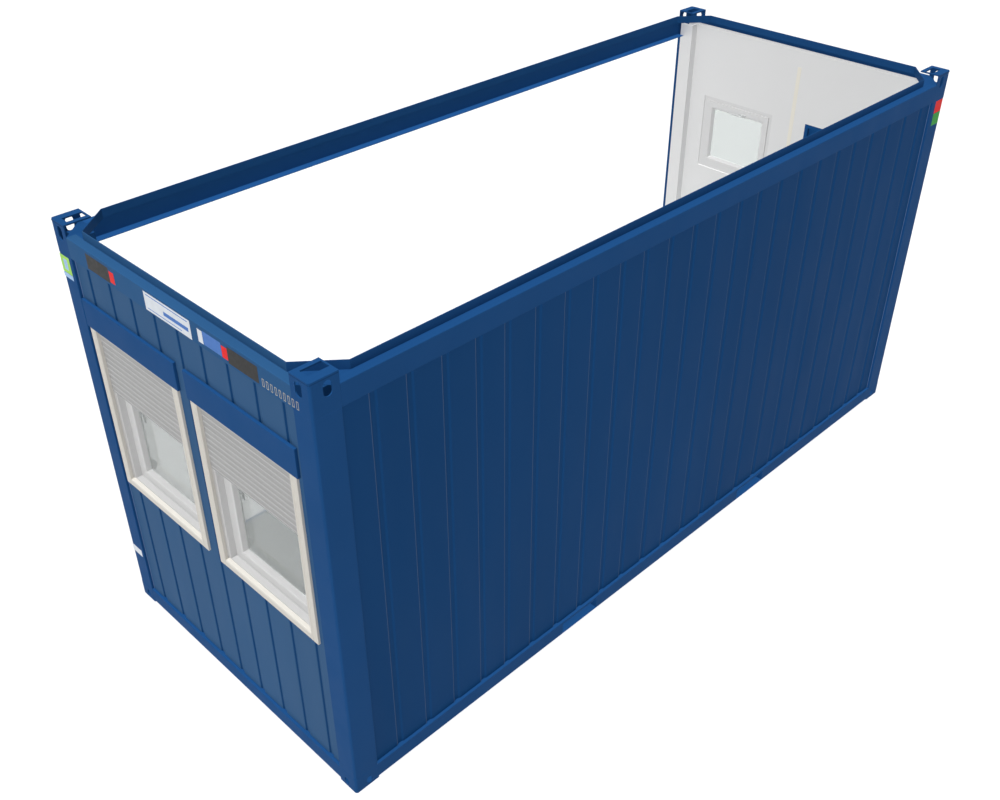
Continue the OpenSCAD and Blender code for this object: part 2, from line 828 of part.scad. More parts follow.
module door_handles() {
    color("#a5a7a8") on_rear() {
        translate([handle_x, leaf_face, handle_z]) mirror([0, 1, 0]) lever_handle(leaf_face - 3);
        translate([handle_x, leaf_back, handle_z]) lever_handle(48);
    }
}

front_left_corner_post();
front_right_corner_post();
rear_left_corner_post();
rear_right_corner_post();
front_left_top_fitting();
front_right_top_fitting();
rear_left_top_fitting();
rear_right_top_fitting();
bottom_fittings();
front_floor_rail();
rear_floor_rail();
closed_side_floor_rail();
open_side_floor_rail();
floor_cross_members();
front_fork_pocket();
rear_fork_pocket();
underfloor_sheets();
floor_board();
floor_covering();
front_roof_rail();
rear_roof_rail();
closed_side_roof_rail();
open_side_roof_rail();
roof_gutter_corners();
side_wall_panel_1();
side_wall_panel_2();
side_wall_panel_3();
side_wall_panel_4();
side_wall_panel_5();
side_wall_lining();
front_wall_panel_left();
front_wall_panel_right();
front_wall_lining();
rear_wall_panel_window();
rear_wall_panel_over_door();
rear_wall_panels_beside_door();
rear_wall_lining_window();
rear_wall_lining_over_door();
rear_wall_linings_beside_door();
corner_post_covers();
shutter_boxes();
shutter_curtains();
window_guides();
window_frames();
window_sashes();
window_glass();
window_handles();
belt_winders();
door_frame();
door_leaf();
door_handles();
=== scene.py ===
"""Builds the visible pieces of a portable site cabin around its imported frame.

The cabin is a 20 ft steel-framed unit: folded rails and posts, profiled wall sheets, shuttered
windows at the front end, a tilt window and a door at the rear end, one long side open.
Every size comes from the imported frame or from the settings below, in metres.
"""

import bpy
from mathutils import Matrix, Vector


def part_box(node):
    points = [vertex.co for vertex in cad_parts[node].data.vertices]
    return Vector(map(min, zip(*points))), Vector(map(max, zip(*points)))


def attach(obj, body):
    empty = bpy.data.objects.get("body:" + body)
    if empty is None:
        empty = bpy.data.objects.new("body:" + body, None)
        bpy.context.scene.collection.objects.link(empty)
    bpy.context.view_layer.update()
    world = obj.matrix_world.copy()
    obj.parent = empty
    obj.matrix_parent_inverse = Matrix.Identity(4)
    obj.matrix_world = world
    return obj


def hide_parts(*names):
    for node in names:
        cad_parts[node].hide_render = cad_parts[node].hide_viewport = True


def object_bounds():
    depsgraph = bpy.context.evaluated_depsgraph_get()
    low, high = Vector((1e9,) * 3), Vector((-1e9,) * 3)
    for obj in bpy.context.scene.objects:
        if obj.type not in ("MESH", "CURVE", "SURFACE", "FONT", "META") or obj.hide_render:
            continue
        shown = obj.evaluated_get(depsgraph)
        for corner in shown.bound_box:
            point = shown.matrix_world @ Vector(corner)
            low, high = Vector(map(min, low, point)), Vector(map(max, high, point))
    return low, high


bl_info = {
    "name": "Portable Site Cabin",
    "version": (1, 0, 0),
    "blender": (4, 5, 0),
    "location": "View3D > Sidebar > Cabin",
    "description": "Builds the visible pieces of a steel-framed site cabin around its packed frame",
    "category": "Object",
}

import math

import bmesh
import bpy
import numpy as np
from bpy.props import FloatProperty, FloatVectorProperty, PointerProperty
from mathutils import Matrix, Quaternion, Vector

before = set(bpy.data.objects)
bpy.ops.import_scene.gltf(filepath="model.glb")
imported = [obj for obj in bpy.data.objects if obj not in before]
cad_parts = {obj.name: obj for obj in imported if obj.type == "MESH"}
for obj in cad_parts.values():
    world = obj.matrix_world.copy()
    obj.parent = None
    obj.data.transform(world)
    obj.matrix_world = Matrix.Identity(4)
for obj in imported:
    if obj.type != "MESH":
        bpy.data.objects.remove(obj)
CAD_BOX = [list(corner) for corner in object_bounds()]
HALF_W, HALF_L, CABIN_H = CAD_BOX[1]
FAR_OUT = 1.0  # an offset past any edge, cut back to the outer rectangle
HAIR = 0.0004  # gap between a piece and the face that it lies on


# ---- Settings ---------------------------------------------------------------------

def length(name, default, description):
    """A size in metres that a user may change."""
    return FloatProperty(name=name, default=default, min=0.0, unit="LENGTH", precision=4,
                         description=description)


def colour(name, default, description):
    """A linear colour that a user may change."""
    return FloatVectorProperty(name=name, default=default, size=3, min=0.0, max=1.0, subtype="COLOR",
                               description=description)


class CabinSizes(bpy.types.PropertyGroup):
    """Sizes of the folded, moulded and printed details."""
    plate: length("Plate", 0.004, "Thickness of the frame's folded plate")
    bend: length("Bend", 0.007, "Outer radius of the frame's bends")
    post_edge: length("Post edge", 0.022, "Radius of a corner post's outer edge")
    post_lip: length("Post lip", 0.030, "Depth of a corner post's inner lips")
    set_back: length("Set back", 0.0008, "Distance of rails and posts behind the fittings' faces")
    cast_back: length("Cast back", 0.0006, "Distance of the lifting corners behind the outline")
    fitting_edge: length("Fitting edge", 0.0025, "Edge radius of the corner fittings")
    fold: length("Fold", 0.0035, "Reach of a wall sheet's folds")
    bead: length("Bead", 0.0028, "Radius of the sealing beads")
    slat: length("Slat", 0.0394, "Height of a shutter slat")
    slat_swell: length("Slat swell", 0.0055, "Rise of a slat's rounded face")
    cover_edge: length("Cover edge", 0.004, "Edge radius of the shutter box covers")
    plastic_edge: length("Plastic edge", 0.0025, "Edge radius of the plastic window sections")
    pane: length("Pane", 0.004, "Thickness of one pane of glass")
    pane_gap: length("Pane gap", 0.0035, "Gap between the two panes of a window")
    joint_strip: length("Joint strip", 0.035, "Width of the strips over the lining's joints")
    film: length("Film", 0.0006, "Thickness of a printed plate")
    door_rib: length("Door rib", 0.052, "Distance between the door sheets' ribs")


class CabinColours(bpy.types.PropertyGroup):
    """Colours of the finishes."""
    frame_blue: colour("Frame blue", (0.0095, 0.055, 0.167), "Coach paint on rails, posts and fittings")
    # Painted sheen: the frame paint made lighter and paler on the front roof rail.
    rail_sheen_blue: colour("Rail blue", (0.020, 0.076, 0.182), "Faded paint on the front roof rail")
    wall_blue: colour("Wall blue", (0.006, 0.044, 0.137), "Coating of the side and rear wall sheets")
    # Painted sheen: the wall coat made lighter and paler on the front end, where the light falls.
    front_sheen_blue: colour("Front blue", (0.030, 0.082, 0.176), "Chalked coating of the front end")
    lining_white: colour("Lining white", (0.68, 0.68, 0.68), "Coated lining boards")
    strip_cream: colour("Strip cream", (0.72, 0.69, 0.61), "Strips over the lining's joints")
    trim_cream: colour("Trim cream", (0.52, 0.50, 0.46), "Shutter guides and window strips")
    plastic_white: colour("Plastic white", (0.51, 0.51, 0.51), "Window sections")
    rear_white: colour("Rear white", (0.61, 0.61, 0.61), "Rear window's sections")
    # Painted shade: grey that darkens the linings' upward edges against the light from above.
    edge_shade_grey: colour("Edge grey", (0.45, 0.45, 0.45), "Trims over the lining boards' upper edges")
    curtain_grey: colour("Curtain grey", (0.295, 0.295, 0.295), "Shutter slats")
    handle_grey: colour("Handle grey", (0.50, 0.51, 0.51), "Anodised handles")
    door_blue: colour("Door blue", (0.007, 0.058, 0.185), "Coating of the door and its frame")
    vinyl_grey: colour("Vinyl grey", (0.245, 0.258, 0.258), "Floor covering")
    board_wood: colour("Board wood", (0.45, 0.32, 0.18), "Edge of the floor board")
    zinc_grey: colour("Zinc grey", (0.42, 0.44, 0.46), "Sheets under the floor")
    # The sealing beads are real; their colour is painted lighter than the wall as an edge highlight.
    bead_highlight_blue: colour("Bead blue", (0.085, 0.14, 0.27), "Sealing beads beside the panels")
    glass_tint: colour("Glass tint", (0.80, 0.82, 0.815), "Window panes")


class CabinStage(bpy.types.PropertyGroup):
    """The camera's stand and the studio light."""
    eye: FloatVectorProperty(name="Eye", default=(4.803, -5.387, 5.782), size=3, unit="LENGTH",
                             description="Place of the camera")
    heading: FloatProperty(name="Heading", default=math.radians(-45.043), unit="ROTATION",
                           description="Turn of the view from the cabin's length towards its closed side")
    dip: FloatProperty(name="Dip", default=math.radians(35.06), unit="ROTATION",
                       description="Angle of the view below the horizon")
    roll: FloatProperty(name="Roll", default=math.radians(-0.056), unit="ROTATION",
                        description="Turn of the picture about the view")
    lens: FloatProperty(name="Lens", default=40.566, unit="CAMERA", description="Focal length")
    shift: FloatVectorProperty(name="Shift", default=(-0.0004, 0.0076), size=2,
                               description="Place of the picture's middle, in picture widths")
    overhead: FloatProperty(name="Overhead", default=0.5, min=0.0,
                            description="Strength of the light from above")
    overhead_fill: FloatProperty(name="Overhead fill", default=3.5, min=0.0,
                                 description="Strength of the shadowless light from above")
    front_fill: FloatProperty(name="Front fill", default=1.5, min=0.0,
                              description="Strength of the shadowless light on the front end")
    side_fill: FloatProperty(name="Side fill", default=0.45, min=0.0,
                             description="Strength of the shadowless light on the closed side")
    sky: FloatProperty(name="Sky", default=0.2, min=0.0,
                       description="Strength of the even white surroundings")


def sizes():
    return bpy.context.scene.cabin_sizes


# ---- Walls: along, depth behind the outer face, height ------------------------------

class Wall:
    """One side of the cabin. A point on it is (along, depth behind the outer face, height)."""

    def __init__(self, axis, sign):
        self.axis = axis
        self.sign = sign
        self.half = HALF_W if axis == 0 else HALF_L

    def __call__(self, along, depth, height):
        """The point's place: the depth runs inwards from the wall's outer face."""
        along, depth, height = np.broadcast_arrays(along, depth, height)
        across = self.sign * (self.half - depth)
        return np.stack([across, along, height] if self.axis == 0 else [along, across, height], axis=-1)

    def points(self, node, side=0):
        """A node's vertices on this half of the cabin, and on one side of the wall's middle."""
        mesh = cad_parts[node].data
        place = np.empty(len(mesh.vertices) * 3, np.float32)
        mesh.vertices.foreach_get("co", place)
        place = place.reshape(-1, 3).astype(float)
        depth = self.half - self.sign * place[:, self.axis]
        point = np.stack([place[:, 1 - self.axis], depth, place[:, 2]], axis=1)
        return point[(depth < self.half) & (point[:, 0] * side >= 0)]

    def box(self, node, side=0):
        """Lowest and highest (along, depth, height) of a node."""
        point = self.points(node, side)
        return point.min(axis=0), point.max(axis=0)

    def ring(self, node, side=0):
        """Outer and inner rectangle of a frame, each as its low and high (along, height)."""
        point = self.points(node, side)[:, [0, 2]]
        low, high = point.min(axis=0), point.max(axis=0)
        middle = (low + high) / 2
        inner_low = np.where(point < middle, point, -np.inf).max(axis=0)
        inner_high = np.where(point > middle, point, np.inf).min(axis=0)
        return (low, high), (inner_low, inner_high)

    def levels(self, node, side=0):
        """The different depths at which a node has faces, near to far."""
        return np.unique(np.round(self.points(node, side)[:, 1], 4))


FRONT, REAR = Wall(1, -1), Wall(1, 1)
CLOSED_SIDE, OPEN_SIDE = Wall(0, 1), Wall(0, -1)


# ---- Shapes: each is its points and its faces ---------------------------------------

def skin(grid, loop=False):
    """The surface P(v, u) through a grid of points, closed round u.

    It is closed round v as well for a loop, or else by one face at each end."""
    rows, columns = grid.shape[:2]
    index = np.arange(rows * columns).reshape(rows, columns)
    beside = np.roll(index, -1, axis=1)
    above, above_beside = np.roll(index, -1, axis=0), np.roll(beside, -1, axis=0)
    quads = np.stack([index, beside, above_beside, above], axis=-1)
    faces = (quads if loop else quads[:-1]).reshape(-1, 4).tolist()
    if not loop:
        faces += [index[0].tolist(), index[-1].tolist()]
    return grid.reshape(-1, 3), faces


def bent(outline, radius, steps=4):
    """Rounds the corners of a closed outline.

    The corner B becomes the curve B + (1 - s)^2 a + s^2 b, where a and b reach from B along
    its two edges by the corner's radius."""
    outline = np.asarray(outline, float)
    reach = np.broadcast_to(np.asarray(radius, float), len(outline))[:, None]
    a = np.roll(outline, 1, axis=0) - outline
    b = np.roll(outline, -1, axis=0) - outline
    a *= np.minimum(reach / np.linalg.norm(a, axis=1, keepdims=True), 0.5)
    b *= np.minimum(reach / np.linalg.norm(b, axis=1, keepdims=True), 0.5)
    s = np.linspace(0.0, 1.0, steps)[None, :, None]
    curve = outline[:, None] + (1 - s) ** 2 * a[:, None] + s ** 2 * b[:, None]
    return curve.reshape(-1, 2)


def folded(path, thickness, radius):
    """Outline of a folded sheet whose outer face follows a path, with the sheet on its left.

    The inner face at a fold is P + t (m + n) / (1 + m . n), m and n being the normals beside it."""
    path = np.asarray(path, float)
    step = np.diff(path, axis=0)
    step /= np.linalg.norm(step, axis=1, keepdims=True)
    normal = np.stack([-step[:, 1], step[:, 0]], axis=1)
    m, n = np.vstack([normal[:1], normal]), np.vstack([normal, normal[-1:]])
    inner = path + thickness * (m + n) / (1 + (m * n).sum(axis=1, keepdims=True))
    outer_radius = np.broadcast_to(np.asarray(radius, float), len(path)).copy()
    inner_radius = np.maximum(outer_radius - thickness, thickness * 0.3)
    outer_radius[[0, -1]] = inner_radius[[0, -1]] = thickness * 0.3
    return bent(np.vstack([path, inner[::-1]]), np.concatenate([outer_radius, inner_radius[::-1]]))


def carried(wall, outline, start, end):
    """An outline of (depth, height), carried along a wall: P(u, s) = (s, depth(u), height(u))."""
    along = np.array([[start], [end]])
    return skin(wall(along, outline[:, 0], outline[:, 1]))


def raised(place, outline, low, high):
    """An outline seen from above, carried upwards: P(u, s) = (p(u), q(u), s)."""
    height = np.array([[low], [high]])
    return skin(place(outline[:, 0], outline[:, 1], height))


def mitred(wall, inner, outer, profile):
    """A profile of (offset outwards, depth), carried round an inner rectangle with mitred corners.

    The side at low - offset or high + offset stops at the outer rectangle."""
    profile = np.asarray(profile, float)
    offset = profile[:, 0]
    low = np.maximum(inner[0][:, None] - offset, outer[0][:, None])
    high = np.minimum(inner[1][:, None] + offset, outer[1][:, None])
    along = np.stack([low[0], high[0], high[0], low[0]])
    height = np.stack([low[1], low[1], high[1], high[1]])
    return skin(wall(along, profile[:, 1], height), loop=True)


def block(wall, low, high, radius=0.002, steps=4):
    """A block with rounded edges, given in (along, depth, height).

    Across its length, P = centre + (half size - r) corner(u) + (r - shrink(v)) (cos u, sin u);
    towards an end the length closes in by r (1 - cos v) while shrink(v) = r (1 - sin v)."""
    low, high = np.asarray(low, float), np.asarray(high, float)
    size = high - low
    main = int(np.argmax(size))
    across = [axis for axis in range(3) if axis != main]
    radius = min(radius, size.min() * 0.45)
    angle = np.radians(np.arange(4)[:, None] * 90 + np.linspace(0, 90, steps)).ravel()
    corner = np.repeat([[1, 1], [-1, 1], [-1, -1], [1, -1]], steps, axis=0)
    direction = np.stack([np.cos(angle), np.sin(angle)], axis=1)
    rise = np.radians([14.0, 48.0, 90.0])
    inset = radius * (1 - np.cos(rise))
    shrink = radius * (1 - np.sin(rise))
    shrink = np.concatenate([shrink, shrink[::-1]])[:, None, None]
    grid = np.empty((len(shrink), len(angle), 3))
    grid[..., main] = np.concatenate([low[main] + inset, high[main] - inset[::-1]])[:, None]
    grid[..., across] = ((low + high) / 2)[across] + (size[across] / 2 - radius) * corner \
        + (radius - shrink) * direction
    return skin(wall(grid[..., 0], grid[..., 1], grid[..., 2]))


def rod(wall, path, half_width, half_depth, steps=16):
    """An oval section carried along a path of (along, depth, height).

    P(v, u) = C(v) + a(v) cos u S(v) + b(v) sin u N(v), where T is the path's direction, S the
    part of the upright across T, and N = T x S."""
    path = np.asarray(path, float)
    tangent = np.gradient(path, axis=0)
    tangent /= np.linalg.norm(tangent, axis=1, keepdims=True)
    upright = np.array([0.02, 0.0, 1.0])
    side = upright - (tangent @ upright)[:, None] * tangent
    side /= np.linalg.norm(side, axis=1, keepdims=True)
    normal = np.cross(tangent, side)
    angle = np.linspace(0, 2 * math.pi, steps, endpoint=False)[None, :, None]
    a = np.broadcast_to(np.asarray(half_width, float), len(path))[:, None, None]
    b = np.broadcast_to(np.asarray(half_depth, float), len(path))[:, None, None]
    grid = path[:, None] + a * np.cos(angle) * side[:, None] + b * np.sin(angle) * normal[:, None]
    return skin(wall(grid[..., 0], grid[..., 1], grid[..., 2]))


def turned(wall, centre, profile, steps=32):
    """A profile of (radius, depth) turned about an axis square to the wall."""
    profile = np.asarray(profile, float)
    angle = np.linspace(0, 2 * math.pi, steps, endpoint=False)
    along = centre[0] + profile[:, :1] * np.cos(angle)
    height = centre[1] + profile[:, :1] * np.sin(angle)
    return skin(wall(along, profile[:, 1:], height))


def smooth_path(corners, steps=6):
    """A path through points, with each inner corner B replaced by B + (1 - s)^2 a + s^2 b,
    a and b being two fifths of the edges beside it."""
    corners = np.asarray(corners, float)
    s = np.linspace(0.0, 1.0, steps)[None, :, None]
    a, b = (corners[:-2] - corners[1:-1]) * 0.4, (corners[2:] - corners[1:-1]) * 0.4
    curve = corners[1:-1, None] + (1 - s) ** 2 * a[:, None] + s ** 2 * b[:, None]
    return np.vstack([corners[:1], curve.reshape(-1, 3), corners[-1:]])


# ---- Finishes ---------------------------------------------------------------------

class Finish:
    """A material whose patterns are read from Object coordinates."""

    def __init__(self, name, **sockets):
        self.material = bpy.data.materials.new(name)
        self.material.use_nodes = True
        self.nodes = self.material.node_tree.nodes
        self.link = self.material.node_tree.links.new
        self.shader = self.nodes["Principled BSDF"]
        self.set(**sockets)
        self.place = self.nodes.new("ShaderNodeTexCoord").outputs["Object"]
        self.normal = None

    def set(self, **sockets):
        for name, value in sockets.items():
            self.shader.inputs[name.replace("_", " ")].default_value = value

    def noise(self, scale, detail=2.0, stretch=(1.0, 1.0, 1.0)):
        """Noise with about scale lumps a metre, drawn out along the axes with a small stretch."""
        mapping = self.nodes.new("ShaderNodeMapping")
        mapping.inputs["Scale"].default_value = stretch
        self.link(self.place, mapping.inputs["Vector"])
        noise = self.nodes.new("ShaderNodeTexNoise")
        noise.inputs["Scale"].default_value = scale
        noise.inputs["Detail"].default_value = detail
        self.link(mapping.outputs["Vector"], noise.inputs["Vector"])
        return noise.outputs["Fac"]

    def cells(self, scale):
        """A random value for each cell of about 1 / scale metres."""
        voronoi = self.nodes.new("ShaderNodeTexVoronoi")
        voronoi.inputs["Scale"].default_value = scale
        self.link(self.place, voronoi.inputs["Vector"])
        return voronoi.outputs["Color"]

    def upward(self):
        """1 where the surface looks straight up, 0 where it is upright."""
        parts = self.nodes.new("ShaderNodeSeparateXYZ")
        self.link(self.nodes.new("ShaderNodeNewGeometry").outputs["Normal"], parts.inputs[0])
        return parts.outputs["Z"]

    def spread(self, source, low, high, bottom, top):
        """Maps a source between low and high to bottom and top."""
        spread = self.nodes.new("ShaderNodeMapRange")
        for index, value in zip(range(1, 5), (low, high, bottom, top)):
            spread.inputs[index].default_value = value
        self.link(source, spread.inputs[0])
        return spread.outputs[0]

    def colour(self, source, low, high, dark, light):
        """Colours the surface from dark to light as the source goes from low to high."""
        mix = self.nodes.new("ShaderNodeMix")
        mix.data_type = "RGBA"
        mix.inputs[6].default_value = (*dark, 1.0)
        mix.inputs[7].default_value = (*light, 1.0)
        self.link(self.spread(source, low, high, 0.0, 1.0), mix.inputs[0])
        self.link(mix.outputs[2], self.shader.inputs["Base Color"])

    def roughness(self, source, low, high):
        self.link(self.spread(source, 0.3, 0.7, low, high), self.shader.inputs["Roughness"])

    def bump(self, source, depth):
        """Raises the surface by the source times a depth in metres."""
        bump = self.nodes.new("ShaderNodeBump")
        bump.inputs["Strength"].default_value = 1.0
        bump.inputs["Distance"].default_value = depth
        self.link(source, bump.inputs["Height"])
        if self.normal:
            self.link(self.normal, bump.inputs["Normal"])
        self.normal = bump.outputs["Normal"]
        self.link(self.normal, self.shader.inputs["Normal"])


def shades(base, spread):
    """A darker and a lighter shade of a colour."""
    base = np.asarray(base)
    return base * (1 - spread), np.minimum(base * (1 + spread), 1.0)


def paint(name, base, rough=(0.50, 0.62), spread=0.03, stretch=(1.0, 1.0, 1.0)):
    """Sprayed coat: the shade drifts in clouds, and an orange peel breaks the gloss."""
    finish = Finish(name, Specular_IOR_Level=0.02)
    finish.colour(finish.noise(1.3, 3.0, stretch), 0.3, 0.7, *shades(base, spread))
    finish.roughness(finish.noise(5.0, 4.0, stretch), *rough)
    finish.bump(finish.noise(380.0, 1.0), 0.00003)
    return finish.material


def board(name, base):
    """Coated lining board: a soft mottle, and a fine stucco in the coating."""
    finish = Finish(name, Specular_IOR_Level=0.2)
    finish.colour(finish.noise(0.9, 3.0, (1.0, 1.0, 0.4)), 0.3, 0.7, *shades(base, 0.015))
    finish.roughness(finish.noise(9.0, 3.0), 0.55, 0.7)
    finish.bump(finish.noise(240.0, 2.0), 0.00012)
    return finish.material


def plastic(name, base, top_shade=0.0):
    """Extruded plastic, whose faces are darker by the share top_shade where they look upwards, as painted shade
    against the light from above.
    """
    finish = Finish(name, Specular_IOR_Level=0.35)
    if top_shade:
        finish.colour(finish.upward(), 0.2, 0.9, base, shades(base, top_shade)[0])
    else:
        finish.colour(finish.noise(4.0, 2.0), 0.3, 0.7, *shades(base, 0.012))
    finish.roughness(finish.noise(14.0, 3.0), 0.28, 0.4)
    finish.bump(finish.noise(160.0, 1.0), 0.00003)
    return finish.material


def slat_coat(name, base):
    """Matt coat on the slats, a little dustier along some of them."""
    finish = Finish(name, Specular_IOR_Level=0.2)
    finish.colour(finish.noise(1.0, 3.0, (1.0, 1.0, 12.0)), 0.3, 0.7, *shades(base, 0.03))
    finish.roughness(finish.noise(20.0, 3.0), 0.5, 0.65)
    finish.bump(finish.noise(300.0, 1.0), 0.00004)
    return finish.material


def vinyl(name, base):
    """Sheet vinyl: small chips, a few darker or lighter, in an even ground."""
    finish = Finish(name, Specular_IOR_Level=0.3)
    finish.colour(finish.cells(220.0), 0.1, 0.9, *shades(base, 0.16))
    finish.roughness(finish.noise(3.0, 4.0), 0.42, 0.58)
    finish.bump(finish.noise(180.0, 2.0), 0.00008)
    return finish.material


def raw_board(name, base):
    """Cement-bonded wood board: chips and pores."""
    finish = Finish(name, Specular_IOR_Level=0.15)
    finish.colour(finish.noise(90.0, 4.0, (1.0, 0.25, 1.0)), 0.3, 0.7, *shades(base, 0.3))
    finish.roughness(finish.noise(30.0, 3.0), 0.75, 0.9)
    finish.bump(finish.noise(140.0, 3.0), 0.0004)
    return finish.material


def zinc(name, base):
    """Galvanised sheet with its spangle."""
    finish = Finish(name, Metallic=0.6, Specular_IOR_Level=0.5)
    finish.colour(finish.cells(55.0), 0.0, 1.0, *shades(base, 0.14))
    finish.roughness(finish.noise(40.0, 3.0), 0.38, 0.55)
    finish.bump(finish.noise(120.0, 2.0), 0.00004)
    return finish.material


def anodised(name, base):
    """Satin aluminium, brushed along the handles."""
    finish = Finish(name, Metallic=0.35, Specular_IOR_Level=0.4)
    finish.colour(finish.noise(30.0, 2.0), 0.3, 0.7, *shades(base, 0.04))
    finish.roughness(finish.noise(600.0, 2.0, (0.05, 1.0, 0.05)), 0.3, 0.45)
    finish.bump(finish.noise(500.0, 1.0), 0.00002)
    return finish.material


def rubber(name, base):
    """Extruded rubber, matt with a little bloom."""
    finish = Finish(name, Specular_IOR_Level=0.3)
    finish.colour(finish.noise(60.0, 3.0), 0.3, 0.7, *shades(base, 0.3))
    finish.roughness(finish.noise(80.0, 2.0), 0.6, 0.8)
    finish.bump(finish.noise(250.0, 1.0), 0.00005)
    return finish.material


def pane_glass(name, base, veil):
    """Thin coated glass that mirrors little, under an even dusty veil on each of its faces."""
    finish = Finish(name, Transmission_Weight=1.0 - veil, IOR=1.15, Roughness=0.0)
    finish.set(Base_Color=(*base, 1.0))
    return finish.material


def film(name, base):
    """Printed film, semi-gloss, its ink a little uneven."""
    finish = Finish(name, Specular_IOR_Level=0.04)
    finish.colour(finish.noise(25.0, 3.0), 0.3, 0.7, *shades(base, 0.04))
    finish.roughness(finish.noise(40.0, 2.0), 0.35, 0.5)
    finish.bump(finish.noise(200.0, 1.0), 0.00003)
    return finish.material


UPRIGHT = (1.0, 1.0, 0.3)  # clouds drawn out upwards
SIGN_INKS = {
    "plate_dark": (0.034, 0.034, 0.034),
    "plate_white": (0.56, 0.59, 0.63),
    "plate_red": (0.62, 0.018, 0.018),
    "plate_blue": (0.060, 0.155, 0.42),
    "plate_green": (0.30, 0.56, 0.10),
    "plate_deep_green": (0.035, 0.27, 0.045),
    "plate_pale_blue": (0.30, 0.45, 0.66),
    "plate_cream": (0.40, 0.37, 0.31),
}
FINISHES = {
    "frame_blue": lambda name, c: paint(name, c.frame_blue),
    "wall_blue": lambda name, c: paint(name, c.wall_blue, spread=0.04, stretch=UPRIGHT),
    "front_sheen_blue": lambda name, c: paint(name, c.front_sheen_blue, spread=0.04, stretch=UPRIGHT),
    "lining_white": lambda name, c: board(name, c.lining_white),
    "strip_cream": lambda name, c: plastic(name, c.strip_cream),
    "guide_cream": lambda name, c: paint(name, c.trim_cream, (0.38, 0.5), 0.02),
    # Painted shade: the window sections are darker where they look upwards.
    "window_white": lambda name, c: plastic(name, c.plastic_white, top_shade=0.24),
    "curtain_grey": lambda name, c: slat_coat(name, c.curtain_grey),
    "handle_grey": lambda name, c: anodised(name, c.handle_grey),
    "door_blue": lambda name, c: paint(name, c.door_blue, (0.36, 0.48), 0.05, UPRIGHT),
    "floor_vinyl": lambda name, c: vinyl(name, c.vinyl_grey),
    "floor_wood": lambda name, c: raw_board(name, c.board_wood),
    "underfloor_steel": lambda name, c: zinc(name, c.zinc_grey),
    # Sealing beads, painted light as an edge highlight.
    "bead_highlight_blue": lambda name, c: paint(name, c.bead_highlight_blue, (0.5, 0.6), 0.1),
    # Painted highlight along the side panels' fold edges.
    "fold_highlight_blue": lambda name, c: paint(name, shades(c.bead_highlight_blue, 0.35)[0]),
    # Painted shade: a darker copy of the wall coat in the ends' folds.
    "crease_shade_blue": lambda name, c: paint(name, shades(c.wall_blue, 0.15)[0]),
    "weld_blue": lambda name, c: paint(name, shades(c.frame_blue, 0.55)[0]),
    # Painted sheen on the front roof rail.
    "rail_sheen_blue": lambda name, c: paint(name, c.rail_sheen_blue),
    # Painted light: a lighter copy of the frame paint for the open side's rails, whose seen faces get little
    # light.
    "open_rail_lit_blue": lambda name, c: paint(name, shades(c.frame_blue, 0.28)[1]),
    # Painted shade: the rear window's sections are darker where they look upwards.
    "rear_white": lambda name, c: plastic(name, c.rear_white, top_shade=0.30),
    # Painted light: a lighter copy of the rear window's white, for the pane spacers and belt winders that stand
    # in shade.
    "case_lit_white": lambda name, c: plastic(name, shades(c.rear_white, 0.35)[1]),
    "edge_shade_grey": lambda name, c: plastic(name, c.edge_shade_grey),
    "seal_black": lambda name, c: rubber(name, (0.02, 0.02, 0.02)),
    "window_glass": lambda name, c: pane_glass(name, c.glass_tint, 0.02),
    "dusty_glass": lambda name, c: pane_glass(name, shades(c.glass_tint, 0.21)[0], 0.10),
    **{ink: (lambda name, c, base=base: film(name, base)) for ink, base in SIGN_INKS.items()},
}


def finish_of(name):
    """The material of that name, made when it is first asked for."""
    title = f"{name}_finish"
    return bpy.data.materials.get(title) or FINISHES[name](title, bpy.context.scene.cabin_colours)


# ---- Making pieces ------------------------------------------------------------------

def settle(obj, finish, body, replaces):
    """Puts a finished object in the scene, on its body, with its finish."""
    obj.data.materials.append(finish_of(finish))
    bpy.context.scene.collection.objects.link(obj)
    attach(obj, body)
    if replaces:
        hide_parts(*replaces)
    return obj


def shade(mesh, angle=32.0):
    """Smooth shading with crisp edges where faces meet at more than an angle."""
    mesh.polygons.foreach_set("use_smooth", np.ones(len(mesh.polygons), bool))
    mesh.set_sharp_from_angle(angle=math.radians(angle))


def build(name, shapes, finish, body="cabin", replaces=(), back=None, crease=32.0):
    """Joins shapes into one piece, with closed shells facing outwards.

    With a back, given as a wall and a depth, the shapes are outer faces that are filled to that depth."""
    starts = np.cumsum([0] + [len(points) for points, _ in shapes[:-1]])
    faces = [[start + corner for corner in face]
             for (_, shape), start in zip(shapes, starts) for face in shape]
    mesh = bpy.data.meshes.new(name)
    mesh.from_pydata(np.vstack([points for points, _ in shapes]).tolist(), [], faces)
    shell = bmesh.new()
    shell.from_mesh(mesh)
    bmesh.ops.dissolve_degenerate(shell, dist=1e-6, edges=shell.edges)
    if back:
        wall, depth = back
        flat = Matrix.Identity(4)
        flat[wall.axis][wall.axis], flat[wall.axis][3] = 0.0, wall.sign * (wall.half - depth)
        grown = bmesh.ops.extrude_face_region(shell, geom=shell.faces[:], use_keep_orig=True)["geom"]
        moved = [part for part in grown if isinstance(part, bmesh.types.BMVert)]
        bmesh.ops.transform(shell, matrix=flat, verts=moved)
    bmesh.ops.recalc_face_normals(shell, faces=shell.faces)
    shell.to_mesh(mesh)
    shell.free()
    shade(mesh, crease)
    obj = bpy.data.objects.new(name, mesh)
    flat = obj.modifiers.new("Flat faces", "WEIGHTED_NORMAL")
    flat.keep_sharp = True
    return settle(obj, finish, body, replaces)


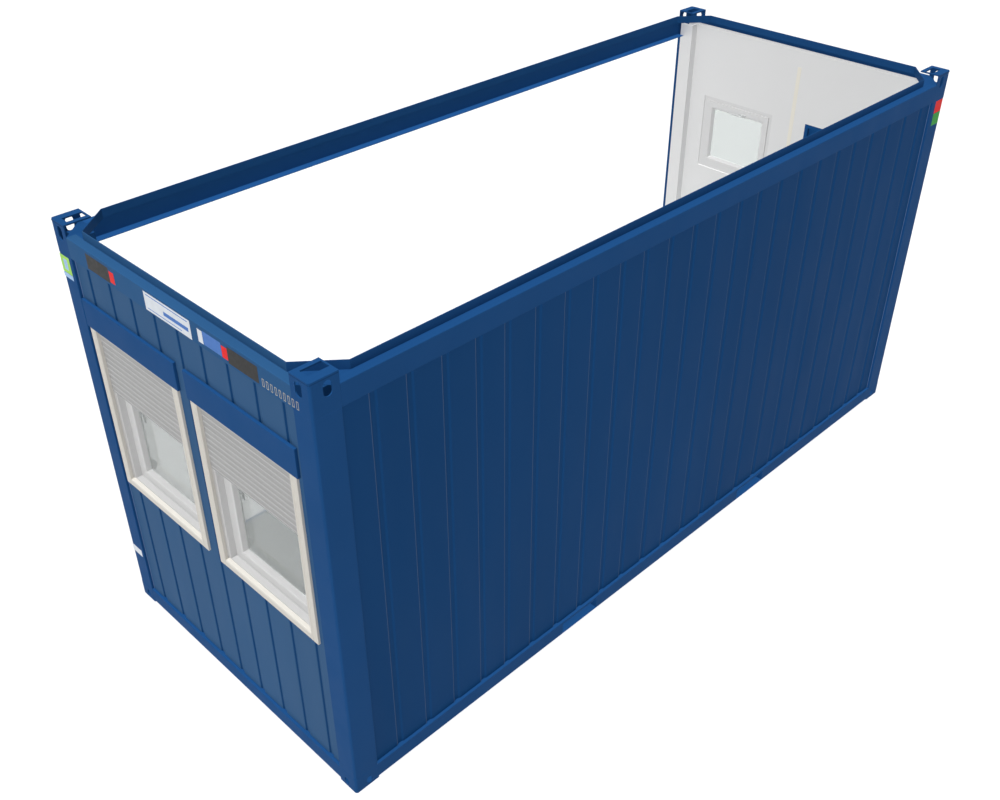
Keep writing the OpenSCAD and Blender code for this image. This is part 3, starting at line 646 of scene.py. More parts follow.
def softened(name, nodes, radius, back=0.0):
    """Copies of the frame's CAD nodes with merged faces and rounded edges, which stand for the nodes.

    They are trimmed to lie at least a distance back from the cabin's outline."""
    shell = bmesh.new()
    for node in nodes:
        shell.from_mesh(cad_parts[node].data)
    bmesh.ops.remove_doubles(shell, verts=shell.verts, dist=1e-5)
    bmesh.ops.dissolve_limit(shell, angle_limit=math.radians(1), verts=shell.verts, edges=shell.edges)
    mesh = bpy.data.meshes.new(name)
    shell.to_mesh(mesh)
    shell.free()
    place = np.empty(len(mesh.vertices) * 3, np.float32)
    mesh.vertices.foreach_get("co", place)
    limit = np.array([HALF_W - back, HALF_L - back, CABIN_H])
    mesh.vertices.foreach_set("co", np.clip(place.reshape(-1, 3), -limit, limit).ravel())
    mesh.materials.clear()
    shade(mesh)
    obj = bpy.data.objects.new(name, mesh)
    bevel = obj.modifiers.new("Edges", "BEVEL")
    bevel.width = radius
    bevel.segments = 2
    bevel.limit_method = "ANGLE"
    bevel.angle_limit = math.radians(40)
    bevel.harden_normals = True
    return settle(obj, "frame_blue", "cabin", nodes)


def dress(nodes, finish):
    """Gives CAD nodes their finish."""
    for node in nodes:
        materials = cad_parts[node].data.materials
        materials.clear()
        materials.append(finish_of(finish))


# ---- Frame -------------------------------------------------------------------------

CORNERS = [("front_left", -1, -1), ("front_right", 1, -1), ("rear_left", -1, 1), ("rear_right", 1, 1)]
ENDS = {"front": FRONT, "rear": REAR}
WALLS = {"front": FRONT, "rear": REAR, "closed_side": CLOSED_SIDE, "open_side": OPEN_SIDE}
PANELS = {"closed_side": [f"side_wall_panel_{n}" for n in range(1, 6)],
          "front": ["front_wall_panel_left", "front_wall_panel_right"],
          "rear": ["rear_wall_panel_window", "rear_wall_panel_over_door"]}


def rail_path(wall, node, top):
    """The outer face of a channel that opens inwards: top flange, web and bottom flange."""
    low, high = wall.box(node)
    face = sizes().set_back
    return [(high[1], top), (face, top), (face, low[2]), (high[1], low[2])]


class CABIN_OT_rails(bpy.types.Operator):
    """Folds the roof rails with their gutter upstands, and the floor rails of the two ends"""
    bl_idname = "cabin.rails"
    bl_label = "Rails"

    def execute(self, context):
        size = sizes()
        flange_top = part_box("roof_gutter_corners")[0].z + size.plate
        for name, wall in WALLS.items():
            node = f"{name}_roof_rail"
            low, high = wall.box(node)
            section = folded(rail_path(wall, node, flange_top), size.plate, size.bend)
            shapes = [carried(wall, section, low[0], high[0])]
            point = wall.points(node)
            half = point[point[:, 2] > flange_top + size.plate, 0].max()
            face = high[1] - size.plate
            upstand = block(wall, (-half, face, flange_top - size.plate), (half, high[1], high[2]), 0.0015)
            # Painted light on the open side's rails, and a painted sheen on the front rail.
            finish = {"open_side": "open_rail_lit_blue", "front": "rail_sheen_blue"}.get(name, "frame_blue")
            build(node + "_sheet", shapes + [upstand], finish, replaces=[node])
        for name, wall in ENDS.items():
            node = f"{name}_floor_rail"
            low, high = wall.box(node)
            section = folded(rail_path(wall, node, high[2]), size.plate, size.bend)
            build(node + "_sheet", [carried(wall, section, low[0], high[0])], "frame_blue", replaces=[node])
        return {"FINISHED"}


def at_corner(side, fore):
    """Places (in from the end wall's outer edge, in from the long side's, height) at a corner."""
    def place(p, q, height):
        p, q, height = np.broadcast_arrays(p, q, height)
        return np.stack([side * (HALF_W - p), fore * (HALF_L - q), height], axis=-1)
    return place


class CABIN_OT_posts(bpy.types.Operator):
    """Folds the four corner posts, with a rounded outer edge and lips that turn inwards"""
    bl_idname = "cabin.posts"
    bl_label = "Corner posts"

    def execute(self, context):
        size = sizes()
        lip, face = size.post_lip, size.set_back
        for name, side, fore in CORNERS:
            node = f"{name}_corner_post"
            low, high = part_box(node)
            width, depth = high.x - low.x, high.y - low.y
            path = [(lip, depth), (face, depth), (face, face), (width, face), (width, lip)]
            radius = [0, size.bend, size.post_edge, size.bend, 0]
            section = folded(path, size.plate, radius)
            corner = at_corner(side, fore)
            shapes = [raised(corner, section, low.z, high.z)]
            near, far_p, far_q = size.plate + face + HAIR, width - HAIR, depth - HAIR
            head = bent([(near, near), (far_p, near), (far_p, far_q), (near, far_q)],
                        size.post_edge - size.plate)
            shapes.append(raised(corner, head, high.z - size.plate - HAIR, high.z - HAIR))
            build(node + "_sheet", shapes, "frame_blue", replaces=[node])
        return {"FINISHED"}


class CABIN_OT_fittings(bpy.types.Operator):
    """Rounds corner fittings, gutter corners, fork pockets and side channels, with the fittings' welds"""
    bl_idname = "cabin.fittings"
    bl_label = "Fittings"

    def execute(self, context):
        edge = sizes().fitting_edge
        for name, _, _ in CORNERS:
            softened(f"{name}_lifting_corner", [f"{name}_top_fitting"], edge, sizes().cast_back)
        self.heads()
        self.seams()
        softened("foot_castings", ["bottom_fittings"], edge)
        softened("gutter_corner_sheets", ["roof_gutter_corners"], 0.0012)
        softened("closed_side_floor_channel", ["closed_side_floor_rail"], 0.0012)
        softened("open_side_floor_channel", ["open_side_floor_rail"], 0.0012)
        softened("fork_pocket_tubes", ["front_fork_pocket", "rear_fork_pocket"], 0.0012)
        return {"FINISHED"}

    def seams(self):
        """The welds between each lifting corner and its top plate, on both outer faces."""
        near, out, inset = sizes().cast_back - 0.0004, sizes().cast_back + HAIR, 0.003
        shapes = []
        for name, side, fore in CORNERS:
            low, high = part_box(f"{name}_top_fitting")
            foot, head = high.z - 0.0135, high.z - 0.0105
            end = REAR if fore > 0 else FRONT
            flank = CLOSED_SIDE if side > 0 else OPEN_SIDE
            for wall, first, last in ((end, low.x, high.x), (flank, low.y, high.y)):
                shapes.append(block(wall, (first + inset, near, foot), (last - inset, out, head), 0.0003))
        build("lifting_corner_welds", shapes, "weld_blue")

    def heads(self):
        """Painted skins over the linings' corners and post covers, seen through the front fittings."""
        covers = FRONT.points("corner_post_covers")
        lining = FRONT.points("front_wall_lining")
        bottom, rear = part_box("front_right_top_fitting")[0].z + HAIR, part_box("front_right_top_fitting")[1].y
        gap, sheet, run = 0.001, 0.0006, 0.10
        shapes = []
        for side in SIDES.values():
            corner = covers[covers[:, 0] * side > 0]
            ahead = lining[(lining[:, 0] * side > 0) & (lining[:, 1] < corner[:, 1].min())]
            corner = np.vstack([corner, ahead])
            near = np.abs(corner[:, 0]) >= np.abs(covers[:, 0]).min() - gap
            low = corner[near].min(axis=0) - gap
            high = corner[near].max(axis=0) + (gap, gap, gap * 2)
            shapes.append(block(FRONT, (low[0], low[1], bottom), high, 0.0008))
            inner = low[0] if side > 0 else high[0]
            first, last = sorted((inner, inner - side * run))
            shapes.append(block(FRONT, (first, low[1], bottom), (last, low[1] + sheet, high[2]), 0.0002))
            shapes.append(block(FRONT, (first, low[1], high[2] - sheet),
                                (last, lining[:, 1].max(), high[2]), 0.0002))
        low, high = CLOSED_SIDE.box("side_wall_lining")
        first, last, near, top = rear - 0.002, rear - 0.002 + run, low[1] - gap, high[2] + gap * 2
        shapes.append(block(CLOSED_SIDE, (first, near, bottom), (last, low[1] - HAIR, top), 0.0002))
        shapes.append(block(CLOSED_SIDE, (first, near, top - sheet), (last, high[1], top), 0.0002))
        build("lining_corner_heads", shapes, "frame_blue")


# ---- Walls -------------------------------------------------------------------------

def face_path(wall, node):
    """The edges of a panel's outer face, from one end to the other, as (along, depth)."""
    point = wall.points(node)
    face = point[point[:, 1] < point[:, 1].max() - 0.001]
    edge, first = np.unique(np.round(face[:, 0], 4), return_index=True)
    return np.stack([edge, face[first, 1]], axis=1)


def opening(wall, node):
    """The window's opening in a panel as its low and high (along, depth, height), or None."""
    point = wall.points(node)
    inside = point[(point[:, 2] > point[:, 2].min() + 0.001) & (point[:, 2] < point[:, 2].max() - 0.001)]
    return (inside.min(axis=0), inside.max(axis=0)) if len(inside) else None


def open_heights(wall, node, along):
    """The heights between which a panel's face runs on at a place along it."""
    low, high = wall.box(node)
    gap = opening(wall, node)
    if gap is None or along < gap[0][0] - 0.01 or along > gap[1][0] + 0.01:
        return [(low[2], high[2])]
    parts = [(low[2], gap[0][2]), (gap[1][2], high[2])]
    return [(foot, head) for foot, head in parts if head - foot > 0.01]


def wall_sheet(wall, node):
    """A profiled sheet over a panel, folded where the panel's face has its edges.

    Each fold B becomes the curve B + (1 - s)^2 a + s^2 b, where a and b reach from B along
    the faces beside it by the fold's radius."""
    point = wall.points(node)
    path = face_path(wall, node)
    a, b = path[:-2] - path[1:-1], path[2:] - path[1:-1]
    a *= np.minimum(sizes().fold / np.linalg.norm(a, axis=1, keepdims=True), 0.5)
    b *= np.minimum(sizes().fold / np.linalg.norm(b, axis=1, keepdims=True), 0.5)
    s = np.linspace(0.0, 1.0, 4)[None, :, None]
    curve = path[1:-1, None] + (1 - s) ** 2 * a[:, None] + s ** 2 * b[:, None]
    along, depth = np.vstack([path[:1], curve.reshape(-1, 2), path[-1:]]).T
    height = np.unique(np.round(point[:, 2], 4))
    grid = wall(along[:, None], depth[:, None], height[None])
    index = np.arange(len(along) * len(height)).reshape(len(along), len(height))
    cells = np.stack([index[:-1, :-1], index[1:, :-1], index[1:, 1:], index[:-1, 1:]], axis=-1)
    gap = opening(wall, node)
    if gap:
        gap_low, gap_high = gap
        along_mid = ((along[:-1] + along[1:]) / 2)[:, None]
        height_mid = ((height[:-1] + height[1:]) / 2)[None]
        hole = (along_mid > gap_low[0]) & (along_mid < gap_high[0]) & (height_mid > gap_low[2]) \
            & (height_mid < gap_high[2])
        cells = cells[~hole]
    cells = cells.reshape(-1, 4)
    return grid.reshape(-1, 3), cells.tolist()


class CABIN_OT_wall_sheets(bpy.types.Operator):
    """Rolls the profiled outer sheets of the closed side and of both ends"""
    bl_idname = "cabin.wall_sheets"
    bl_label = "Wall sheets"

    def execute(self, context):
        for name, nodes in PANELS.items():
            wall = WALLS[name]
            # The front end's sheets take the wall coat with a painted sheen, lighter and paler.
            finish = "front_sheen_blue" if wall is FRONT else "wall_blue"
            for node in nodes:
                build(node + "_sheet", [wall_sheet(wall, node)], finish, replaces=[node],
                      back=(wall, wall.box(node)[1][1]))
        dress(["rear_wall_panels_beside_door"], "wall_blue")
        return {"FINISHED"}


def bead(wall, start, end, depth):
    """A sealing bead on a wall: a slim rod between two points of (along, height)."""
    (a, low), (b, high) = start, end
    t = np.linspace(0.0, 1.0, 3)
    path = np.stack([a + (b - a) * t, np.full(3, depth), low + (high - low) * t], axis=1)
    return rod(wall, path, sizes().bead, sizes().bead, 8)


class CABIN_OT_beads(bpy.types.Operator):
    """Runs sealing beads round the walls' edges, and marks the folds with painted highlights and painted shade
    """
    bl_idname = "cabin.beads"
    bl_label = "Sealing beads"

    def execute(self, context):
        radius = sizes().bead
        for name, nodes in PANELS.items():
            wall = WALLS[name]
            low, high = wall.box(nodes[0])[0], wall.box(nodes[-1])[1]
            left, right, foot, head = low[0] + radius, high[0] - radius, low[2], high[2] - radius
            runs = [((left, foot), (left, head)), ((right, foot), (right, head)),
                    ((left, head), (right, head))]
            shapes = [bead(wall, start, end, low[1]) for start, end in runs]
            build(f"{name}_sealing_beads", shapes, "bead_highlight_blue")
        self.highlight_folds()
        self.creases()
        return {"FINISHED"}

    def highlight_folds(self):
        """Painted highlights on the side's panels: light lines just before each edge where the face steps back.
        """
        shapes = []
        for node in PANELS["closed_side"]:
            path = face_path(CLOSED_SIDE, node)
            low, high = CLOSED_SIDE.box(node)
            for edge in path[:-1][np.diff(path[:, 1]) > 0.001, 0]:
                shapes.append(block(CLOSED_SIDE, (edge - 0.0045, low[1] - 0.0003, low[2]),
                                    (edge - 0.0010, low[1] + 0.001, high[2]), 0.0002))
        build("painted_fold_highlights", shapes, "fold_highlight_blue")

    def creases(self):
        """Dark fillets painted as shade in the folds at which the ends' panels have stepped back."""
        shapes = []
        for wall, node in [(WALLS[name], node) for name in ENDS for node in PANELS[name]]:
            path = face_path(wall, node)
            for start in np.flatnonzero(np.diff(path[:, 1]) > 0.001) + 1:
                section = path[start] + np.array([(-0.006, -0.0052), (-0.001, -0.0014), (0.006, -0.0006),
                                                  (0.006, 0.001), (-0.002, 0.001)])
                for foot, head in open_heights(wall, node, path[start, 0]):
                    shapes.append(raised(wall, section, foot, head))
        build("shaded_creases", shapes, "crease_shade_blue")


class CABIN_OT_linings(bpy.types.Operator):
    """Coats the linings and post covers, and sets strips on their joints and trims painted as shade on their
    edges
    """
    bl_idname = "cabin.linings"
    bl_label = "Linings"

    def execute(self, context):
        dress(["side_wall_lining", "front_wall_lining", "rear_wall_lining_window",
               "rear_wall_lining_over_door", "rear_wall_linings_beside_door", "corner_post_covers"],
              "lining_white")
        self.strips()
        self.trims()
        return {"FINISHED"}

    def strips(self):
        """Cream strips over the linings' joints, from the floor to just below the roof rails."""
        half, proud, drop = sizes().joint_strip / 2, 0.0025, 0.028
        floor_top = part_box("floor_covering")[1].z
        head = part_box("front_roof_rail")[0].z - drop
        joints = [(REAR, "rear_wall_lining_window", REAR.box("rear_wall_lining_window")[1][0]),
                  (FRONT, "front_wall_lining", FRONT.box("front_wall_panel_left")[1][0])]
        joints += [(CLOSED_SIDE, "side_wall_lining", CLOSED_SIDE.box(node)[1][0])
                   for node in PANELS["closed_side"][:-1]]
        shapes = []
        for wall, lining, along in joints:
            face = wall.box(lining)[1][1]
            shapes.append(block(wall, (along - half, face + HAIR, floor_top),
                                (along + half, face + proud, head), 0.001))
        build("lining_joint_strips", shapes, "strip_cream")

    def trims(self):
        """Thin grey trims on the upper edges of the linings, painted grey as shade so that the tops look no
        lighter than the faces.
        """
        thickness = 0.0012
        shapes = []
        for wall, node in ((FRONT, "front_wall_lining"), (REAR, "rear_wall_lining_window"),
                           (REAR, "rear_wall_lining_over_door"), (CLOSED_SIDE, "side_wall_lining")):
            low, high = wall.box(node)
            shapes.append(block(wall, (low[0], low[1], high[2] + HAIR),
                                (high[0], high[1], high[2] + thickness), 0.0003))
        build("lining_edge_shade_trims", shapes, "edge_shade_grey")


class CABIN_OT_floor(bpy.types.Operator):
    """Finishes the floor covering, its board, the cross-members and the sheets below"""
    bl_idname = "cabin.floor"
    bl_label = "Floor"

    def execute(self, context):
        dress(["floor_covering"], "floor_vinyl")
        dress(["floor_board"], "floor_wood")
        dress(["floor_cross_members", "underfloor_sheets"], "underfloor_steel")
        return {"FINISHED"}


# ---- Front windows ------------------------------------------------------------------

SIDES = {"left": -1, "right": 1}


def curtain(wall, low, high):
    """Slats carried across a window.

    Within a slat, at the share h of its height, the face stands out by
    swell (1 - (1 - 4 h (1 - h))^3), so that slats meet in narrow grooves."""
    size = sizes()
    top, bottom = high[2], low[2] + size.slat * 0.9
    height = np.linspace(top, bottom, int((top - bottom) / size.slat * 16))
    share = (top - height) / size.slat % 1.0
    depth = low[1] + size.slat_swell * (1 - 4 * share * (1 - share)) ** 3
    face = np.stack([depth, height], axis=1)
    back = [(high[1], bottom), (high[1], top)]
    return carried(wall, np.vstack([face, back]), low[0], high[0])


class CABIN_OT_shutters(bpy.types.Operator):
    """Makes the roller shutters: box covers, slatted curtains with their end bars, and guides"""
    bl_idname = "cabin.shutters"
    bl_label = "Roller shutters"

    def execute(self, context):
        size = sizes()
        boxes, inner_covers, curtains, guides = [], [], [], []
        for side in SIDES.values():
            low, high = FRONT.box("shutter_boxes", side)
            near, step, far = FRONT.levels("shutter_boxes", side)
            point = FRONT.points("shutter_boxes", side)
            body = point[point[:, 1] > step + 0.001]
            (left, _, foot), (right, _, head) = body.min(axis=0), body.max(axis=0)
            boxes.append(block(FRONT, (low[0], near, low[2]), (high[0], step, high[2]), size.cover_edge))
            boxes.append(block(FRONT, (left, step, low[2]), (right, far, head)))
            inner_covers.append(block(FRONT, (left, far + HAIR, foot), (right, far + 0.003, head), 0.001))
            low, high = FRONT.box("shutter_curtains", side)
            curtains.append(curtain(FRONT, low, high))
            bar = size.slat * 0.9
            curtains.append(block(FRONT, low + (0, 0.001, 0), (high[0], high[1], low[2] + bar * 0.42),
                                  0.003))
            curtains.append(block(FRONT, (low[0], low[1] + 0.002, low[2] + bar * 0.46),
                                  (high[0], high[1] - 0.001, low[2] + bar), 0.0025))
            guides += self.guide_set(side)
        build("shutter_box_inner_covers", inner_covers, "window_white")
        build("shutter_box_covers", boxes, "frame_blue", replaces=["shutter_boxes"])
        build("shutter_slats", curtains, "curtain_grey", replaces=["shutter_curtains"])
        build("shutter_guides", guides, "guide_cream", replaces=["window_guides"])
        return {"FINISHED"}

    def guide_set(self, side):
        """Two slotted guides, each with a shadow groove in its face, and the strip between them."""
        low, high = FRONT.box("window_guides", side)
        curtain_low, _ = FRONT.box("shutter_curtains", side)
        point = FRONT.points("window_guides", side)[:, 2]
        strip_top = point[(point > low[2] + 0.001) & (point < high[2] - 0.001)].min()
        face, back, far = low[1], curtain_low[1], high[1]
        width = 0.060
        slot = curtain_low[0] - low[0] - 0.001
        outline = bent([(0, face), (width * 0.70, face), (width * 0.72, face + 0.003),
                        (width * 0.78, face + 0.003), (width * 0.80, face), (width, face),
                        (width, back), (slot, back), (slot, far), (0, far)], 0.0012)
        shapes = []
        for edge, way in ((low[0], 1), (high[0], -1)):
            placed = outline * (way, 1) + (edge, 0)
            shapes.append(raised(FRONT, placed, low[2], high[2]))
        strip = bent([(face, low[2]), (face, strip_top - 0.012), (face + 0.004, strip_top - 0.002),
                      (far, strip_top), (far, low[2])], 0.003)
        shapes.append(carried(FRONT, strip, low[0] + width, high[0] - width))
        return shapes


def frame_profile(near, step, back, seat, radius):
    """Window frame: a lip in front, and a rebate behind it for the sash."""
    return bent([(0, near), (0, step), (seat, step), (seat, back), (FAR_OUT, back), (FAR_OUT, near)],
                radius)


def sash_profile(near, back, pane_near, pane_far, radius):
    """Sash: a sloping bead in front of the panes and one behind them."""
    return bent([(0, pane_near), (0.006, near + 0.004), (0.012, near), (FAR_OUT, near), (FAR_OUT, back),
                 (0.016, back), (0, pane_far)], radius)


class CABIN_OT_windows(bpy.types.Operator):
    """Makes the frames, sashes, panes and handles of all three windows, and the belt winders"""
    bl_idname = "cabin.windows"
    bl_label = "Windows"

    def execute(self, context):
        panes = self.sections("window", [(FRONT, -1), (FRONT, 1)], "window_white",
                              ["window_frames"], ["window_sashes"])
        panes += self.sections("rear_window", [(REAR, 0)], "rear_white", [], [])
        build("window_panes", panes[4:], "window_glass", replaces=["window_glass"], crease=1.0)
        build("dusty_window_panes", panes[:4], "dusty_glass", crease=1.0)
        self.handles()
        self.winders()
        return {"FINISHED"}

    def sections(self, title, places, finish, frame_nodes, sash_nodes):
        """Builds the frames, sashes and spacers of some windows, and gives their panes."""
        size = sizes()
        edge = size.plastic_edge
        frames, sashes, panes, spacers = [], [], [], []
        for wall, side in places:
            outer, inner = wall.ring("window_frames", side)
            near, step, back = wall.levels("window_frames", side)
            sash_outer, sash_inner = wall.ring("window_sashes", side)
            seat = inner[0][0] - sash_outer[0][0] + 0.0012
            frames.append(mitred(wall, inner, outer, frame_profile(near, step, back, seat, edge)))
            sash_low, sash_high = wall.box("window_sashes", side)
            low, high = wall.box("window_glass", side)
            first = low[1] - 0.006
            middle = first + size.pane
            second = middle + size.pane_gap
            profile = sash_profile(sash_low[1], sash_high[1], first, second + size.pane, edge)
            sashes.append(mitred(wall, sash_inner, sash_outer, profile))
            rebate = 0.004
            for depth in (first, second):
                panes.append(block(wall, (low[0] - rebate, depth, low[2] - rebate),
                                   (high[0] + rebate, depth + size.pane, high[2] + rebate), 0.0005))
            spacer = [(-0.002, middle), (0.002, middle), (0.002, second), (-0.002, second)]
            spacers.append(mitred(wall, sash_inner, sash_outer, spacer))
        build(title + "_frame_sections", frames, finish, replaces=frame_nodes)
        build(title + "_sash_sections", sashes, finish, replaces=sash_nodes)
        # The spacers are painted lighter, as painted light where they sit in shade between the panes.
        build(title + "_pane_spacers", spacers, "case_lit_white")
        return panes

    def handles(self):
        """On each sash a rose, a neck and a lever that thins towards its end, upright or lying."""
        rose, half_rose, half_lever = 0.010, 0.013, 0.009
        t = np.linspace(0.0, 1.0, 12)
        taper = np.sqrt(t * (1 - t) + 0.004)
        wide = half_lever * (1 - 0.25 * t) * np.minimum(1, 4 * taper)
        thick = 0.006 * np.minimum(1, 3 * taper)
        shapes = []
        for wall, side in ((FRONT, -1), (FRONT, 1), (REAR, 0)):
            low, high = wall.box("window_handles", side)
            lies = high[0] - low[0] > high[2] - low[2]
            main = 0 if lies else 2
            point = wall.points("window_handles", side)
            lever = point[point[:, 1] > high[1] - 0.001]
            tip, root = lever[:, main].min(), lever[:, main].max()
            pivot = root - half_lever
            cross = (low[2 - main] + high[2 - main]) / 2
            path = np.empty((12, 3))
            path[:, main] = root - 0.001 + (tip + 0.001 - root) * t
            path[:, 2 - main] = cross
            path[:, 1] = high[1] - 0.0065 - 0.004 * np.sin(math.pi * t)
            shapes.append(rod(wall, path, thick, wide) if lies else rod(wall, path, wide, thick))
            rose_low, rose_high = np.empty(3), np.empty(3)
            rose_low[main], rose_high[main] = pivot - 0.035, pivot + 0.035
            rose_low[2 - main], rose_high[2 - main] = cross - half_rose, cross + half_rose
            rose_low[1], rose_high[1] = low[1] + HAIR, low[1] + rose
            shapes.append(block(wall, rose_low, rose_high, 0.004))
            centre = (pivot, cross) if lies else (cross, pivot)
            neck = [(0.010, low[1] + rose), (0.0085, low[1] + rose + 0.003), (0.0085, high[1] - 0.008)]
            shapes.append(turned(wall, centre, neck, 20))
        build("window_levers", shapes, "handle_grey", replaces=["window_handles"])

    def winders(self):
        """Belt winder cases: two swellings, as the reel and the belt's mouth, seen from the side."""
        shapes = []
        for side in SIDES.values():
            low, high = FRONT.box("belt_winders", side)
            t = np.linspace(0.0, 1.0, 40)
            height = low[2] + (high[2] - low[2]) * t
            reel = np.sqrt(np.clip(1 - ((t - 0.40) / 0.40) ** 2, 0, 1))
            mouth = 0.62 * np.sqrt(np.clip(1 - ((t - 0.82) / 0.18) ** 2, 0, 1))
            reach = (high[1] - low[1]) * np.maximum(reel, mouth)
            face = np.stack([low[1] + np.maximum(reach, 0.010), height], axis=1)
            outline = np.vstack([face, [(low[1] + HAIR, high[2]), (low[1] + HAIR, low[2])]])
            shapes.append(carried(FRONT, outline, low[0], high[0]))
        # The winder cases are painted lighter, as painted light on their shaded sides.
        build("belt_winder_cases", shapes, "case_lit_white", replaces=["belt_winders"])


# ---- Door --------------------------------------------------------------------------

def door_sheet(wall, low, high, depth, proud):
    """A thin sheet on the door: at the place s, it stands out by proud (0.6 + 0.4 cos^8(pi s / rib))."""
    count = max(int(round((high[0] - low[0]) / sizes().door_rib)), 1)
    along = np.linspace(low[0], high[0], count * 12 + 1)
    wave = 0.6 + 0.4 * np.cos(math.pi * count * (along - low[0]) / (high[0] - low[0])) ** 8
    face = np.stack([along, depth + proud * wave], axis=1)
    outline = np.vstack([face, [(high[0], depth), (low[0], depth)]])
    return raised(wall, outline, low[2], high[2])


class CABIN_OT_door(bpy.types.Operator):
    """Makes the door's sheets, handles, lock and seal"""
    bl_idname = "cabin.door"
    bl_label = "Door"

    def execute(self, context):
        dress(["door_frame", "door_leaf"], "door_blue")
        inner_face = REAR.levels("door_leaf").max()
        outer_face = inner_face - 0.040
        point = REAR.points("door_leaf")
        slab = point[point[:, 1] > inner_face - 0.001]
        inset = np.array([0.014, 0.0, 0.014])
        slab_low, slab_high = slab.min(axis=0) + inset, slab.max(axis=0) - inset
        build("door_sheet_inside", [door_sheet(REAR, slab_low, slab_high, inner_face + HAIR, 0.0018)],
              "door_blue", body="door")
        build("door_sheet_outside", [door_sheet(REAR, slab_low, slab_high, outer_face - HAIR, -0.0018)],
              "door_blue", body="door")
        self.handles(outer_face, inner_face)
        self.seal(inner_face)
        return {"FINISHED"}

    def handles(self, outer_face, inner_face):
        """On each face: a round rose, a curved lever, and a keyhole rose with its cylinder below."""
        low, high = REAR.box("door_handles")
        rose = 0.025
        pivot = (low[0] + rose, (low[2] + high[2]) / 2)
        lock = (pivot[0], pivot[1] - 0.072)
        rose_profile = np.array([(rose * 0.98, HAIR), (rose, 0.002), (rose * 0.96, 0.005),
                                 (rose * 0.5, 0.0065), (0.010, 0.007)])
        lock_profile = np.array([(rose * 0.98, HAIR), (rose, 0.002), (rose * 0.94, 0.005), (0.012, 0.006),
                                 (0.0085, 0.006), (0.0085, 0.009), (0.006, 0.0095)])
        shapes = []
        for face, way, end in ((outer_face, -1, low[1]), (inner_face, 1, high[1])):
            shapes.append(turned(REAR, pivot, rose_profile * (1, way) + (0, face)))
            bar = end - way * 0.0075
            path = smooth_path([(pivot[0], face + way * 0.005, pivot[1]), (pivot[0], bar, pivot[1]),
                                (pivot[0] + 0.060, bar, pivot[1] + 0.001), (high[0] - 0.002, bar, pivot[1])])
            t = np.linspace(0.0, 1.0, len(path))
            shapes.append(rod(REAR, path, 0.0095 - 0.001 * t, np.where(t < 0.4, 0.009, 0.007), 20))
            shapes.append(turned(REAR, lock, lock_profile * (1, way) + (0, face)))
        build("door_levers", shapes, "handle_grey", body="door", replaces=["door_handles"])

    def seal(self, inner_face):
        """A hollow rubber lip on the door frame's stop, just clear of the leaf."""
        stop = REAR.levels("door_frame")
        stop_face = stop[stop > inner_face + 0.001].min()
        low, high = REAR.box("door_leaf")
        outer = (np.array([low[0] + 0.001, low[2]]), np.array([high[0] - 0.012, high[2] - 0.001]))
        inner = (outer[0] + 0.007, outer[1] - 0.007)
        near = inner_face + 0.0008
        profile = bent([(0, near), (0.007, near), (0.007, stop_face - HAIR), (0, stop_face - HAIR)], 0.002)
        build("door_seal", [mitred(REAR, inner, outer, profile)], "seal_black")


# ---- Signs and marks ------------------------------------------------------------------

def label(wall, along, height, layer=0):
    """A thin printed plate on the frame's face, in a layer above the paint."""
    film_t = sizes().film
    out = sizes().set_back - layer * 0.00015
    return block(wall, (along[0], out - film_t, height[0]), (along[1], out, height[1]), 0.0003)


def stroke_ring(along, height, wide, high, stroke=0.0028):
    """An upright ring of paint on the front rail or the fitting beside it, in place of a figure."""
    out = sizes().set_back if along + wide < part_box("front_right_top_fitting")[0].x else sizes().cast_back
    outer = np.array([along, height]), np.array([along + wide, height + high])
    inner = outer[0] + stroke, outer[1] - stroke
    near = out - sizes().film
    return mitred(FRONT, inner, outer, [(0, out), (0, near), (stroke, near), (stroke, out)])


class CABIN_OT_signs(bpy.types.Operator):
    """Sets plain plates and marks on the front roof rail and on two posts"""
    bl_idname = "cabin.signs"
    bl_label = "Plates and marks"

    def execute(self, context):
        rail_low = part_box("front_roof_rail")[0].z
        low, high = rail_low + 0.018, rail_low + 0.116
        dark = [label(FRONT, (-0.857, -0.607), (low, high)), label(FRONT, (0.545, 0.802), (low, high))]
        red = [label(FRONT, (-0.604, -0.552), (low + 0.010, high - 0.016)),
               label(FRONT, (0.493, 0.543), (low + 0.014, high - 0.014))]
        white = [label(FRONT, (-0.235, 0.212), (rail_low + 0.008, rail_low + 0.122)),
                 label(FRONT, (0.279, 0.323), (rail_low + 0.030, rail_low + 0.108)),
                 label(FRONT, (-1.212, -1.090), (0.414, 0.474))]
        blue = [label(FRONT, (0.326, 0.490), (rail_low + 0.032, rail_low + 0.113))]
        stripes = [label(FRONT, (-0.215, 0.190), (rail_low + 0.104, rail_low + 0.110), 1),
                   label(FRONT, (-0.05, 0.190), (rail_low + 0.045, rail_low + 0.070), 1),
                   label(FRONT, (-0.215, 0.120), (rail_low + 0.022, rail_low + 0.027), 1)]
        marks = [stroke_ring(x, rail_low + 0.018, 0.017, 0.046) for x in np.arange(9) * 0.034 + 0.830]
        green = [label(FRONT, (-1.212, -1.102), (2.622, 2.738))]
        pale = [label(FRONT, (-1.212, -1.102), (2.588, 2.619)),
                label(FRONT, (-1.18, -1.135), (2.645, 2.715), 1)]
        side_red = [label(CLOSED_SIDE, (2.906, 3.012), (2.648, 2.745))]
        side_green = [label(CLOSED_SIDE, (2.906, 3.012), (2.549, 2.645))]
        build("dark_plates", dark, "plate_dark")
        build("red_plates", red + side_red, "plate_red")
        build("white_plates", white, "plate_white")
        build("blue_plate", blue + stripes, "plate_blue")
        build("pale_stencil_marks", marks, "plate_cream")
        build("green_label", green, "plate_green")
        build("pale_label_foot", pale, "plate_pale_blue")
        build("deep_green_plate", side_green, "plate_deep_green")
        return {"FINISHED"}


# ---- Stage -------------------------------------------------------------------------

